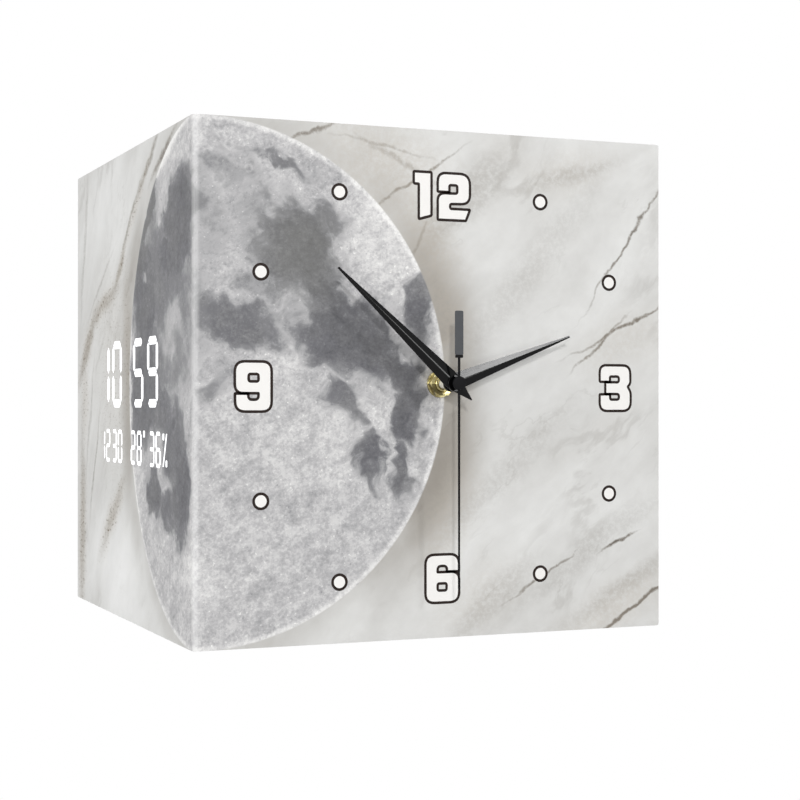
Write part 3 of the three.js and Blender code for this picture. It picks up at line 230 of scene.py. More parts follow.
# Printed sheet: u runs round the corner and h up it, in millimetres from mid-height of the corner.
# Spots are u, h, half length, half width, tilt in degrees and depth of tone.
# Noises are scale, detail and roughness, drifts are scale, detail and reach, steps are from, to, depth.
moonLook = {
    "middle": (3.0, 0.0), "radius": 130.0, "limb": (126.5, 129.0, 0.08),
    "drifts": [(0.024, 3.0, 42.0), (0.10, 5.0, 20.0)],
    "cloud": (0.034, 5.0, 0.62), "patch": (0.075, 4.0, 0.66), "grit": (0.17, 4.0, 0.78),
    "fine": (0.60, 2.0, 0.7), "streak": (0.15, 5.0, 0.7), "streakSlant": (34.0, (4.0, 1.0)),
    "fleck": (0.45, 2.0, 0.6), "brightFleck": (0.62, 0.76, 0.15), "darkFleck": (0.38, 0.24, 0.10),
    "fleckAtSea": 0.45, "craterAtSea": 0.6,
    "shoreMix": (0.7, 0.8, 0.9, 0.3), "shore": (0.14, 0.64), "seaMix": (0.54, 0.46, 0.5), "shineClears": 0.6,
    "base": 0.757, "cloudTone": 0.16, "patchTone": 0.26, "seaTone": 0.35, "shineTone": 0.06,
    "grainTones": [(0.27, 0.16), (0.15, 0.06), (0.04, 0.21)],  # grit, fine, streak: everywhere, more on land
    "seas": {"soft": 0.62, "rows": [
        (54, 66, 24, 25, 20, 0.88), (67, 44, 15, 11, -40, 0.90), (80, 25, 27, 20, -25, 1.0),
        (108, 10, 14, 10, -30, 0.95), (118, 41, 7, 16, 8, 0.85), (114, -12, 11, 18, 5, 0.95),
        (92, -38, 9, 14, 10, 0.85), (80, -14, 8, 13, 15, 0.75), (24, 30, 26, 11, -6, 0.66),
        (36, 46, 16, 8, -25, 0.50), (13, 1, 9, 9, 0, 0.42), (45, 113, 20, 5, -8, 0.55),
        (15, 106, 15, 9, 0, 0.42), (73, 86, 12, 8, -35, 0.66), (6, 80, 12, 26, 0, 0.30),
        (112, -42, 6, 15, 0, 0.70), (28, 84, 16, 20, 10, 0.34), (-60, 42, 64, 56, 0, 0.62),
        (-28, 80, 30, 25, 0, 0.98), (-95, 47, 27, 38, 12, 0.92), (-92, 2, 34, 32, 0, 0.92),
        (-45, 60, 30, 16, 0, 0.88), (-38, -26, 24, 20, 0, 0.80), (-24, -50, 15, 28, -8, 0.96),
        (-72, -60, 15, 13, 0, 0.98), (-46, -62, 18, 13, 20, 0.72), (-62, -12, 28, 16, 0, 0.74),
        (-88, 88, 30, 6, 46, 0.85)]},
    "brightSpots": {"soft": 0.6, "rows": [
        (-40, 26, 19, 13, 10, 0.75), (-92, 53, 6, 4, 0, 0.9), (45, 8, 15, 9, 20, 0.6),
        (62, -30, 28, 18, 15, 0.6), (98, 72, 18, 28, 35, 0.75), (-10, -95, 16, 10, 0, 0.8),
        (-116, -52, 10, 30, 22, 0.8), (96, -18, 6, 12, 0, 0.8), (104, 30, 4, 10, 20, 0.5),
        (-52, 99, 26, 5, 32, 0.7), (-125, 0, 3, 36, 0, 0.9), (-30, 118, 34, 8, 12, 0.6)]},
    "rims": {"soft": 0.8, "rows": [
        (-40, 121, 28, 3.0, 22, 0.16), (98, 74, 14, 30, 35, 0.05), (2, -92, 26, 12, 0, 0.05)]},
    "greens": {"soft": 0.8, "rows": [
        (54, 66, 28, 28, 20, 0.27), (24, 92, 34, 24, 0, 0.12), (-84, 86, 34, 10, 46, 0.22)]},
    "greenCloud": (-0.12, 0.14, 0.10), "olive": screen(148, 148, 138),
    "rays": [(-10.0, -92.0, 150.0, 0.06), (-38.0, 28.0, 60.0, 0.08), (104.0, 52.0, 42.0, 0.08)],
    "craters": [(1 / 17, 0.04), (1 / 7, 0.055), (1 / 3, 0.05)],
    "stops": [(0.30, screen(78, 78, 82)), (0.45, screen(114, 114, 118)), (0.60, screen(153, 153, 155)),
              (0.75, screen(191, 190, 191)), (0.90, screen(229, 228, 227)), (1.0, screen(250, 249, 247))],
}


def craterField(place, scale, strength):
    # rims stand out bright and floors dark, at random places in cells of one over the scale
    cell = place.node("ShaderNodeTexVoronoi", None, {"Vector": place, "Scale": scale})
    chance = place.node("ShaderNodeSeparateColor", None, {0: cell.output("Color")})
    away = cell / (0.05 + 0.24 * chance * chance)  # in crater radii, of which most are small
    rim = smooth(abs(away - 1.0), 0.45, 0.0, strength)
    floor = smooth(away, 1.0, 0.35, 0.5 * strength)
    return (rim - floor) * smooth(chance.output(1), 0.45, 0.8)  # some cells stay empty


def rayField(place, u, h, reach, strength):
    # broken streaks that run out from one crater and fade towards reach
    away = vectorMath("SUBTRACT", place, (u, h, 0.0))
    heading = vectorMath("MULTIPLY", vectorMath("NORMALIZE", away), (1.0, 1.0, 0.0))
    streak = smooth(noise(heading, 4.0, 3.0, 0.7), 0.48, 0.75)
    streak = streak * smooth(noise(place, 0.12, 5.0, 0.7), 0.35, 0.65)
    return streak * smooth(vectorMath("LENGTH", away, out="Value"), reach, reach * 0.12, strength)


def shareOnLand(land, atSea):
    return atSea + (1.0 - atSea) * land


def moonColour(flat, radius):
    # seas are soft spots that rugged noise breaks up; land carries grain, flecks, pits and slanting streaks
    look = moonLook
    rugged = flat
    for drift in look["drifts"]:
        rugged = shifted(rugged, *drift)
    cloud, patch, grit, fine = (noise(flat, *look[name]) - 0.5 for name in ("cloud", "patch", "grit", "fine"))
    streak = noise(slantedPlace(flat, *look["streakSlant"]), *look["streak"]) - 0.5
    shine = spots(rugged, look["brightSpots"])
    field = spots(rugged, look["seas"]) * (1.0 - look["shineClears"] * shine)
    shore = field
    for weight, layer in zip(look["shoreMix"], (cloud, patch, grit, fine)):
        shore = shore + weight * layer
    always, deep, patchy = look["seaMix"]
    sea = smooth(shore, *look["shore"]) * (always + deep * field + patchy * patch)
    land = 1.0 - sea
    tone = look["base"] + look["cloudTone"] * cloud + look["patchTone"] * patch
    tone = tone - look["seaTone"] * sea + look["shineTone"] * shine
    for layer, (always, onLand) in zip((grit, fine, streak), look["grainTones"]):
        tone = tone + layer * (always + onLand * land)
    fleck = noise(flat, *look["fleck"])
    tone = tone + smooth(fleck, *look["brightFleck"]) * shareOnLand(land, look["fleckAtSea"])
    tone = tone - smooth(fleck, *look["darkFleck"]) * land
    for scale, strength in look["craters"]:
        tone = tone + craterField(flat, scale, strength) * shareOnLand(land, look["craterAtSea"])
    for row in look["rays"]:
        tone = tone + rayField(rugged, *row)
    tone = tone + smooth(radius, *look["limb"]) * (0.5 + land) + spots(flat, look["rims"])
    green = most(spots(flat, look["greens"]), smooth(cloud, *look["greenCloud"]))
    return mixed(green * sea, toned(tone, look["stops"]), look["olive"])


marbleLook = {
    "swirl": (0.011, 4.0, 46.0), "slant": (42.0, (2.4, 1.0)), "waves": [(0.035, 3.0, 11.0), (0.25, 4.0, 2.4)],
    "base": 0.862, "cloud": (0.024, 5.0, 0.6), "cloudTone": 0.22, "mist": (0.12, 5.0, 0.6), "mistTone": 0.05,
    # threads: noise, its level on the thread, half width, depth, scale of the patches, and where these begin
    "threads": [((0.019, 6.0, 0.6), 0.5, 0.045, 0.055, 0.013, (0.50, 0.62)),
                ((0.05, 5.0, 0.58), 0.47, 0.025, 0.035, 0.017, (0.53, 0.66))],
    "breaks": (0.35, 5.0, 0.74), "broken": (0.36, 0.60), "veinMix": (0.25, 0.75, 1.6), "tanMix": (0.35, 0.65),
    "shadeReach": (164.0, 129.0), "shadeRing": (146.0, 129.0, 0.06), "shadeWarmth": 0.5,
    "warmCloud": (0.016, 3.0), "warm": (0.52, 0.82, 0.10), "goldGround": 0.38,
    "speck": (0.55, 3.0, 0.75), "speckSlant": (0.0, (2.4, 1.0)), "speckEdge": (0.56, 0.64), "speckTone": 0.9,
    "veins": {"soft": 0.8, "rows": [
        (243, 80, 38, 0.7, 54, 0.27), (240, 32, 30, 0.8, 27, 0.30), (224, 22, 18, 0.8, 42, 0.27),
        (243, -119, 30, 0.8, 29, 0.38), (238, -107, 34, 4.5, 27, 0.08), (234, -85, 10, 0.8, 25, 0.30),
        (205, 110, 26, 4.0, 17, 0.08), (148, 98, 30, 9.0, 45, 0.08), (170, -45, 45, 7.0, 42, 0.05),
        (222, -85, 50, 6.0, 33, 0.06), (108, 113, 20, 1.3, -28, 0.12), (118, 104, 24, 0.7, 34, 0.24),
        (62, 126, 16, 0.8, 24, 0.22), (118, 74, 17, 0.9, 62, 0.12), (182, 60, 55, 8.0, 50, 0.05),
        (160, -112, 26, 6.0, 40, 0.07), (190, -100, 22, 0.7, 30, 0.22), (100, 120, 22, 0.8, -12, 0.13),
        (-127, 90, 28, 1.7, 40, 0.20), (-86, 118, 27, 2.4, 33, 0.20), (-57, 118, 22, 2.0, 25, 0.24),
        (-197, 60, 32, 1.3, 30, 0.10), (-240, 88, 40, 3.0, 76, 0.10), (-150, 67, 19, 2.6, 46, 0.20),
        (-189, 46, 32, 4.0, 16, 0.16), (-232, 24, 26, 4.5, 42, 0.20), (-212, -46, 30, 1.5, 68, 0.15),
        (-168, -75, 28, 4.0, 38, 0.15), (-246, -80, 50, 6.0, 88, 0.14), (-226, -20, 34, 2.0, 72, 0.10)]},
    "goldVeins": {"soft": 0.85, "rows": [
        (-150, 67, 20, 4.0, 46, 1.0), (-189, 46, 34, 6.5, 16, 1.0), (-232, 24, 28, 7.0, 42, 1.0),
        (-168, -75, 30, 7.0, 38, 1.0), (-246, -90, 42, 9.0, 88, 1.0), (-240, -4, 9, 26, 0, 0.7),
        (-132, 20, 8, 40, 6, 0.55), (-110, 100, 34, 3.5, 38, 0.7), (-165, 5, 34, 50, 8, 0.35)]},
    "tans": {"soft": 0.9, "rows": [
        (102, 110, 34, 20, -24, 0.40), (122, 78, 12, 30, 30, 0.40), (136, 30, 10, 30, 8, 0.35),
        (238, 24, 24, 12, 27, 0.25), (205, 112, 24, 10, 17, 0.25), (236, -116, 30, 10, 28, 0.35),
        (135, -70, 12, 30, -20, 0.3), (150, -110, 24, 14, 30, 0.2)]},
    "shades": {"soft": 0.9, "rows": [
        (140, -40, 26, 62, -14, 0.30), (134, 45, 22, 50, 24, 0.24), (112, -95, 24, 40, 42, 0.14),
        (116, 84, 22, 30, 40, 0.14), (-136, 8, 18, 84, 0, 0.22), (-124, 66, 18, 40, -28, 0.16),
        (-118, -76, 14, 34, 30, 0.10)]},
    "lights": {"soft": 0.9, "rows": [(-145, -110, 55, 27, -6, 0.11), (-178, 98, 48, 27, 10, 0.06)]},
    "stops": [(0.45, screen(112, 106, 98)), (0.65, screen(166, 162, 156)), (0.80, screen(205, 204, 201)),
              (0.90, screen(230, 230, 228)), (1.0, screen(248, 248, 247))],
    "beige": screen(190, 181, 168), "gold": screen(104, 86, 62),
}


def marbleColour(flat, radius):
    # soft slanting clouds, faint threads, speckled veins, and the shade that the moon's disc throws beside it
    look = marbleLook
    slanted = slantedPlace(shifted(flat, *look["swirl"]), *look["slant"])
    wavy = flat
    for wave in look["waves"]:
        wavy = shifted(wavy, *wave)
    tone = look["base"] + look["cloudTone"] * (noise(slanted, *look["cloud"]) - 0.5)
    tone = tone + look["mistTone"] * (noise(flat, *look["mist"]) - 0.5)
    for wave, level, wide, deep, patches, where in look["threads"]:
        away = abs(noise(slanted, *wave) - level)
        tone = tone - smooth(away, wide, 0.0, deep) * smooth(noise(flat, patches, 2.0), *where)
    broken = smooth(noise(flat, *look["breaks"]), *look["broken"])
    vein = spots(wavy, look["veins"])
    always, inParts, deeper = look["veinMix"]
    tone = tone - vein * (always + inParts * broken + deeper * vein)
    tone = tone + spots(flat, look["lights"])
    shade = spots(flat, look["shades"]) * smooth(radius, *look["shadeReach"])
    shade = most(shade, smooth(radius, *look["shadeRing"]))
    stone = toned(tone - shade, look["stops"])
    warm = smooth(noise(slanted, *look["warmCloud"]), *look["warm"])
    stone = mixed(warm + shade * look["shadeWarmth"], stone, look["beige"])
    always, inParts = look["tanMix"]
    stone = mixed(spots(wavy, look["tans"]) * (always + inParts * broken), stone, look["beige"])
    gold = spots(wavy, look["goldVeins"])
    stone = mixed(gold * look["goldGround"], stone, look["beige"])
    specks = smooth(noise(slantedPlace(flat, *look["speckSlant"]), *look["speck"]), *look["speckEdge"])
    return mixed(gold * specks * look["speckTone"], stone, look["gold"])


# The sheet is paler along its bend, partly paler print and partly a painted highlight of the round bend, and
# bare behind its print, past a depth in millimetres
printLook = {"bend": (4.2, 1.2, 0.26), "bendWhiteAndHighlight": screen(240, 240, 239), "bareFrom": (-39.3, -38.7),
             "bare": screen(226, 227, 226), "haze": (0.06, 3.0), "rough": 0.44, "hazeRough": 0.14,
             "specular": 0.14}


def printedFinish():
    material, start, place = startFinish("printed_panel_finish")
    x, y, z = split(place)
    u = (x - y) * (1 / mm)
    flat = start.node("ShaderNodeCombineXYZ", None, {0: u, 1: z * (1 / mm)})
    radius = vectorMath("DISTANCE", flat, (*moonLook["middle"], 0.0), "Value")
    disc = smooth(radius, moonLook["radius"] + 0.5, moonLook["radius"] - 0.5)
    colour = mixed(disc, marbleColour(flat, radius), moonColour(flat, radius))
    # painted highlight: a pale strip along the bend, partly paler print
    colour = mixed(smooth(abs(u), *printLook["bend"]), colour, printLook["bendWhiteAndHighlight"])
    inside = smooth(x.math("MINIMUM", y) * (1 / mm), *printLook["bareFrom"])
    colour = mixed(inside, colour, printLook["bare"])
    rough = printLook["rough"] + printLook["hazeRough"] * noise(flat, *printLook["haze"])
    endFinish(start, {"Base Color": colour, "Roughness": rough, "Specular IOR Level": printLook["specular"]})
    return material


# Plain finishes: colour on a screen, spread of tone, grain in millimetres, roughness, relief in micrometres,
# grain of the relief, and then how metallic and how glossy where that differs
plainLooks = {
    "white_case": ((238, 238, 236), 0.012, 9.0, 0.40, 9.0, 0.55),
    "ink_white": ((248, 246, 243), 0.015, 6.0, 0.5, 0.3, 0.4, 0.0, 0.2),
    "ink_line": ((38, 28, 24), 0.12, 3.0, 0.5, 0.3, 0.4, 0.0, 0.15),
    "steel": ((196, 198, 202), 0.10, 2.5, 0.30, 2.5, 0.5, 1.0),
    "rubber": ((34, 34, 35), 0.15, 3.0, 0.72, 8.0, 0.4),
    "black_case": ((38, 38, 40), 0.12, 5.0, 0.48, 12.0, 0.5),
    "gear_white": ((232, 229, 218), 0.04, 4.0, 0.36, 2.0, 0.4),
    "magnet": ((62, 62, 66), 0.15, 1.0, 0.55, 4.0, 0.3),
    "hand_black": ((9, 9, 10), 0.2, 4.0, 0.13, 0.2, 1.1, 0.0, 0.16),
    "hand_matt": ((14, 14, 16), 0.15, 2.0, 0.5, 1.0, 0.4, 0.0, 0.1),
    "hand_grey": ((76, 78, 81), 0.06, 3.0, 0.42, 1.0, 0.5, 0.0, 0.2),
    "light_film": ((240, 240, 238), 0.02, 6.0, 0.55, 1.0, 0.5),
    "ribbon": ((188, 190, 194), 0.05, 2.0, 0.5, 2.0, 0.4),
}


def plainFinish(name, colour, spread, grain, rough, relief, reliefGrain, metal=0.0, specular=0.5):
    material, start, place = startFinish(name + "_finish")
    cloud = noise(place, 1 / (grain * mm), 5.0, 0.6)
    base = np.array(screen(*colour)[:3])
    dark, light = ((*np.minimum(base * (1 + way * spread), 1.0).tolist(), 1.0) for way in (-1, 1))
    endFinish(start, {"Base Color": mixed(smooth(cloud, 0.25, 0.75), dark, light),
                      "Roughness": rough * (0.82 + 0.36 * cloud), "Metallic": metal,
                      "Specular IOR Level": specular,
                      "Normal": bump(noise(place, 1 / (reliefGrain * mm), 3.0, 0.6), relief * 0.001 * mm)})
    return material


# Turned brass: rings about the axis of the hands, which lies along y; painted reflection: dark wedges are
# painted in a few ways round it, standing for dark surroundings mirrored in the polished faces, each given as
# x, z and where the dark begins and is full
brassLook = {"colour": (232, 220, 164), "dull": (186, 164, 96), "dark": (72, 56, 22),
             "axis": (90.0, 0.0, 0.0), "ring": 0.22, "stain": 2.2, "rough": 0.2, "relief": 0.006,
             "paintedReflectionWedges": [(-0.53, -0.85, 0.74, 0.94), (-0.97, -0.26, 0.95, 0.99), (0.64, 0.77, 0.80, 0.96)]}


def brassFinish():
    material, start, place = startFinish("brass_finish")
    axis = tuple(c * mm for c in brassLook["axis"])
    away = vectorMath("MULTIPLY", vectorMath("SUBTRACT", place, axis), (1.0, 0.0, 1.0))
    ring = start.node("ShaderNodeCombineXYZ", None, {0: vectorMath("LENGTH", away, out="Value")})
    turned = noise(ring, 1 / (brassLook["ring"] * mm), 3.0, 0.6)
    stain = noise(place, 1 / (brassLook["stain"] * mm), 4.0, 0.6)
    colour = mixed(smooth(stain, 0.4, 0.8, 0.6), screen(*brassLook["colour"]), screen(*brassLook["dull"]))
    heading = vectorMath("NORMALIZE", away)
    # painted reflection: each wedge darkens the brass where its polished faces would mirror something dark
    for x, z, low, high in brassLook["paintedReflectionWedges"]:
        facing = vectorMath("DOT_PRODUCT", heading, (x, 0.0, z), "Value")
        dark = smooth(facing, low, high, 0.8) * (0.55 + 0.45 * turned)
        colour = mixed(dark, colour, screen(*brassLook["dark"]))
    endFinish(start, {"Base Color": colour, "Roughness": brassLook["rough"] + 0.12 * stain + 0.06 * turned,
                      "Metallic": 1.0, "Normal": bump(turned, brassLook["relief"] * mm)})
    return material


# Copper winding: turns of wire side by side along x, with painted shade darkening the grooves between turns
copperLook = {"colour": (196, 118, 70), "dark": (120, 62, 34), "wire": 0.12, "relief": 0.03, "cloud": 900.0}


def copperFinish():
    material, start, place = startFinish("copper_finish")
    along, _, _ = split(place)
    turn = (along * (2 * math.pi / (copperLook["wire"] * mm))).math("SINE") * 0.5 + 0.5
    # painted shade: the colour is darker where the turns meet
    colour = mixed(turn, screen(*copperLook["dark"]), screen(*copperLook["colour"]))
    endFinish(start, {"Base Color": colour, "Roughness": 0.26 + 0.16 * noise(place, copperLook["cloud"]),
                      "Metallic": 0.9, "Normal": bump(turn, copperLook["relief"] * mm)})
    return material


# Circuit board: green mask over brick-like runs of copper, with round pads
boardLook = {"mask": (24, 92, 58), "run": (44, 128, 78), "pad": (196, 190, 168), "pitch": 6.4,
             "padPitch": 2.4, "relief": 0.012, "cloud": 700.0}


def boardFinish():
    material, start, place = startFinish("circuit_board_finish")
    lanes = start.node("ShaderNodeTexBrick", {"offset": 0.37, "squash": 1.0}, {
        "Vector": place, "Scale": 1 / (boardLook["pitch"] * mm), "Mortar Size": 0.035,
        "Mortar Smooth": 0.1}, 1)
    dots = start.node("ShaderNodeTexVoronoi", None, {
        "Vector": place, "Scale": 1 / (boardLook["padPitch"] * mm)})
    pad = smooth(dots, 0.20, 0.16)
    colour = mixed(lanes, screen(*boardLook["mask"]), screen(*boardLook["run"]))
    colour = mixed(pad * 0.7, colour, screen(*boardLook["pad"]))
    rough = 0.34 + 0.1 * noise(place, boardLook["cloud"]) - 0.08 * pad
    endFinish(start, {"Base Color": colour, "Roughness": rough,
                      "Normal": bump(lanes + pad, boardLook["relief"] * mm)})
    return material


# Battery sleeve: dark foil with a copper-coloured band at the plus end, and bare steel past both ends;
# places are shares of the battery's length
sleeveLook = {"foil": (44, 46, 52), "band": (188, 128, 62), "steel": (190, 192, 196),
              "bandFrom": (0.676, 0.684), "middle": 0.4885, "half": (0.4785, 0.481), "crinkle": 500.0}


def sleeveFinish():
    material, start, place = startFinish("battery_finish")
    low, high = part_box("battery")
    along, _, _ = split(place)
    share = (along - low.x) / (high.x - low.x)
    band = smooth(share, *sleeveLook["bandFrom"])
    ends = smooth(abs(share - sleeveLook["middle"]), *sleeveLook["half"])
    colour = mixed(band, screen(*sleeveLook["foil"]), screen(*sleeveLook["band"]))
    colour = mixed(ends, colour, screen(*sleeveLook["steel"]))
    endFinish(start, {"Base Color": colour, "Roughness": 0.24 + 0.12 * noise(place, sleeveLook["crinkle"]),
                      "Metallic": 0.35 + 0.65 * most(band * 0.6, ends),
                      "Coat Weight": 0.5, "Coat Roughness": 0.1})
    return material


# Lit segments: an even white light with slightly cooler patches
lightLook = {"colour": (255, 255, 255), "cool": (246, 250, 255), "strength": 1.0, "patch": 260.0}


def litFinish():
    material, start, place = startFinish("lit_segment_finish")
    patch = smooth(noise(place, lightLook["patch"], 2.0), 0.2, 0.8)
    colour = mixed(patch, screen(*lightLook["cool"]), screen(*lightLook["colour"]))
    endFinish(start, {"Base Color": (0.8, 0.8, 0.8, 1.0), "Roughness": 0.35, "Emission Color": colour,
                      "Emission Strength": lightLook["strength"]})
    return material


finishes = {name: plainFinish(name, *look) for name, look in plainLooks.items()}
finishes.update(printed_panel=printedFinish(), brass=brassFinish(), copper=copperFinish(),
                circuit_board=boardFinish(), battery_sleeve=sleeveFinish(), lit=litFinish())
print("finishes made,", len(finishes))


def gridFaces(rows, columns, closeRows=False, closeColumns=False):
    # quads of a grid, each from a point to its neighbours in the next row and column
    i, j = np.meshgrid(np.arange(rows if closeRows else rows - 1),
                       np.arange(columns if closeColumns else columns - 1), indexing="ij")
    nextI, nextJ = (i + 1) % rows, (j + 1) % columns
    quads = [i * columns + j, i * columns + nextJ, nextI * columns + nextJ, nextI * columns + j]
    return np.stack(quads, -1).reshape(-1, 4).tolist()


def newMesh(name, points, faces):
    # points in millimetres; doubles at seams and poles are merged and faces turned outwards
    mesh = bpy.data.meshes.new(name)
    mesh.from_pydata((np.asarray(points, float).reshape(-1, 3) * mm).tolist(), [], faces)
    form = bmesh.new()
    form.from_mesh(mesh)
    bmesh.ops.remove_doubles(form, verts=form.verts, dist=1e-7)
    bmesh.ops.dissolve_degenerate(form, edges=form.edges, dist=1e-7)
    bmesh.ops.recalc_face_normals(form, faces=form.faces)
    form.to_mesh(mesh)
    form.free()
    return mesh


def joinedMesh(name, *meshes):
    form = bmesh.new()
    for mesh in meshes:
        form.from_mesh(mesh)
    whole = bpy.data.meshes.new(name)
    form.to_mesh(whole)
    form.free()
    return whole


def combined(mesh, other, how):
    # a Boolean of two closed meshes
    first = addToScene(bpy.data.objects.new("carve_first", mesh))
    second = addToScene(bpy.data.objects.new("carve_second", other))
    step = first.modifiers.new("carve", "BOOLEAN")
    step.operation, step.solver, step.object = how, "EXACT", second
    ready = bpy.context.evaluated_depsgraph_get()
    result = bpy.data.meshes.new_from_object(first.evaluated_get(ready))
    bpy.data.objects.remove(first)
    bpy.data.objects.remove(second)
    return result


def addPiece(name, mesh, finish, replaced=None, body="clock_body", sharp=32.0, bevel=0.0,
             segments=2, skin=0.0):
    # puts a mesh in the scene on its body; bevel and skin are widths in millimetres
    mesh.name = name
    mesh.materials.clear()
    mesh.materials.append(finishes[finish])
    if skin:
        mesh.shade_flat()
    else:
        mesh.shade_smooth()
        mesh.set_sharp_from_angle(angle=math.radians(sharp))
    made = addToScene(bpy.data.objects.new(name, mesh))
    if skin:
        layer = made.modifiers.new("skin", "SOLIDIFY")
        layer.thickness, layer.offset = skin * mm, 1.0
    if bevel:
        edge = made.modifiers.new("edge", "BEVEL")
        edge.width, edge.segments = bevel * mm, segments
        edge.limit_method, edge.angle_limit = "ANGLE", math.radians(sharp)
        edge.miter_outer = "MITER_ARC"
        made.modifiers.new("even", "WEIGHTED_NORMAL").keep_sharp = True
    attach(made, body)
    if replaced:
        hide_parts(replaced)


# Faces: from the wall's edge to the middle of a face, and from the wall out to it
faceLook = {"middle": 90.0, "out": 40.0}


def onDial(points):
    # dial face: x right, y up and z out of the face, from its middle
    p = np.asarray(points, float).reshape(-1, 3)
    return np.stack([faceLook["middle"] + p[:, 0], -faceLook["out"] - p[:, 2], p[:, 1]], -1)


def onDisplay(points):
    # display face: x right, y up and z out of the face, from its middle
    p = np.asarray(points, float).reshape(-1, 3)
    return np.stack([-faceLook["out"] - p[:, 2], faceLook["middle"] - p[:, 0], p[:, 1]], -1)


def onNode(node, axis):
    # upright forms laid along an axis of a node's box, from the middle of its low side; also the box's length
    low, high = (np.array(c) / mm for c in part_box(node))
    start = (low + high) / 2
    start[axis] = low[axis]
    order = [0, 1]
    order.insert(axis, 2)

    def place(points):
        return start + np.asarray(points, float).reshape(-1, 3)[:, order]
    return place, high[axis] - low[axis]


def angles(count):
    return np.linspace(0, 2 * np.pi, count, endpoint=False)


def quarter(x, y, radius, steps=6, foot=False):
    # a quarter circle about x and y, from its side to its top, or from its foot to its side
    a = np.linspace(0, np.pi / 2, steps)
    if foot:
        return np.stack([x + radius * np.sin(a), y - radius * np.cos(a)], -1)
    return np.stack([x + radius * np.cos(a), y + radius * np.sin(a)], -1)


def roundMesh(name, r, z, place, closed=False, middle=(0.0, 0.0)):
    # radius and height of each ring, by angle, carried round an upright axis
    a = angles(len(r))[:, None]
    points = np.stack([middle[0] + r * np.cos(a), middle[1] + r * np.sin(a), np.broadcast_to(z, r.shape)], -1)
    return newMesh(name, place(points), gridFaces(*r.shape, True, closed))


def turnedMesh(name, profile, place, count=64, closed=False, scale=1.0):
    # a profile of radius and height carried round the axis; scale may change the radius by angle and ring
    p = np.asarray(profile, float)
    return roundMesh(name, np.ones((count, 1)) * scale * p[:, 0], p[:, 1], place, closed)


def prismMesh(name, outline, low, high, place):
    # an outline of x and y carried from low to high along z, with flat ends
    o = np.asarray(outline, float)
    n = len(o)
    points = np.concatenate([np.c_[o, np.full(n, low)], np.c_[o, np.full(n, high)]])
    ends = [list(range(n))[::-1], list(range(n, 2 * n))]
    return newMesh(name, place(points), gridFaces(2, n, False, True) + ends)


def barMesh(name, half, y, s, top, lift, place):
    # a bar along y: half width by y, top height by y and by s across it, and a flat underside
    over = np.stack([half[:, None] * s, np.broadcast_to(y[:, None], (len(y), len(s))),
                     np.broadcast_to(top, (len(y), len(s)))], -1)
    under = over[:, ::-1].copy()
    under[:, :, 2] = lift
    points = np.concatenate([over, under], 1)
    n = points.shape[1]
    ends = [list(range(n)), list(range((len(y) - 1) * n, len(y) * n))]
    return newMesh(name, place(points), gridFaces(len(y), n, False, True) + ends)


def rounded(corners, steps=7):
    # each corner becomes a quadratic curve between the points set back from it by its own radius
    c = np.array(corners, float)
    p, r = c[:, :2], c[:, 2:3]
    before, after = np.roll(p, 1, 0) - p, np.roll(p, -1, 0) - p
    a = p + r * before / np.linalg.norm(before, axis=1, keepdims=True)
    b = p + r * after / np.linalg.norm(after, axis=1, keepdims=True)
    t = np.linspace(0, 1, steps)[None, :, None]
    curve = (1 - t) ** 2 * a[:, None] + 2 * t * (1 - t) * p[:, None] + t ** 2 * b[:, None]
    return curve.reshape(-1, 2)


def roundedBox(x0, x1, y0, y1, radius, steps=9):
    return rounded([(x0, y0, radius), (x1, y0, radius), (x1, y1, radius), (x0, y1, radius)], steps)


def circle(radius, x=0.0, y=0.0, count=48):
    a = angles(count)
    return np.stack([x + radius * np.cos(a), y + radius * np.sin(a)], -1)


past = 1.0  # how far a cutting tool reaches past what it cuts

# Front panel: one sheet, its thickness carried along an L path with a round bend, its edges softened
panelLook = {"thickness": 2.0, "bend": 3.0, "bendSteps": 24, "shaftHole": 4.1, "corner": 1.2, "edge": 0.18}


def panelPiece():
    # the section of the L is carried up, then its corners and the shaft's hole are cut
    low, high = (np.array(c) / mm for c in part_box("front_panel"))
    t, r = panelLook["thickness"], panelLook["bend"]
    a = np.linspace(0, np.pi / 2, panelLook["bendSteps"])
    turn = np.stack([-np.sin(a), -np.cos(a)], -1)  # outward way round the bend
    centre = low[:2] + r
    outer = np.concatenate([[[high[0], low[1]]], centre + r * turn, [[low[0], high[1]]]])
    inner = np.concatenate([[[high[0], low[1] + t]], centre + (r - t) * turn, [[low[0] + t, high[1]]]])
    section = np.concatenate([outer, inner[::-1]])
    n = len(section)
    points = np.concatenate([np.c_[section, np.full(n, h)] for h in (low[2], high[2])])
    ends = [list(range(n)), list(range(n, 2 * n))]
    sheet = newMesh("panel", points, gridFaces(2, n, False, True) + ends)
    for axis, order in ((0, [0, 2, 1]), (1, [2, 0, 1])):  # corners at the free end of each arm
        outline = roundedBox(-high[axis], high[axis], low[2], high[2], panelLook["corner"])
        kept = prismMesh("panel_corners", outline, -high[0], high[0] + past, lambda p: p[:, order])
        sheet = combined(sheet, kept, "INTERSECT")
    hole = prismMesh("panel_hole", circle(panelLook["shaftHole"]), -t - past, past, onDial)
    addPiece("panel_sheet", combined(sheet, hole, "DIFFERENCE"), "printed_panel", "front_panel",
             sharp=40.0, bevel=panelLook["edge"], segments=3)


panelPiece()
print("panel made")

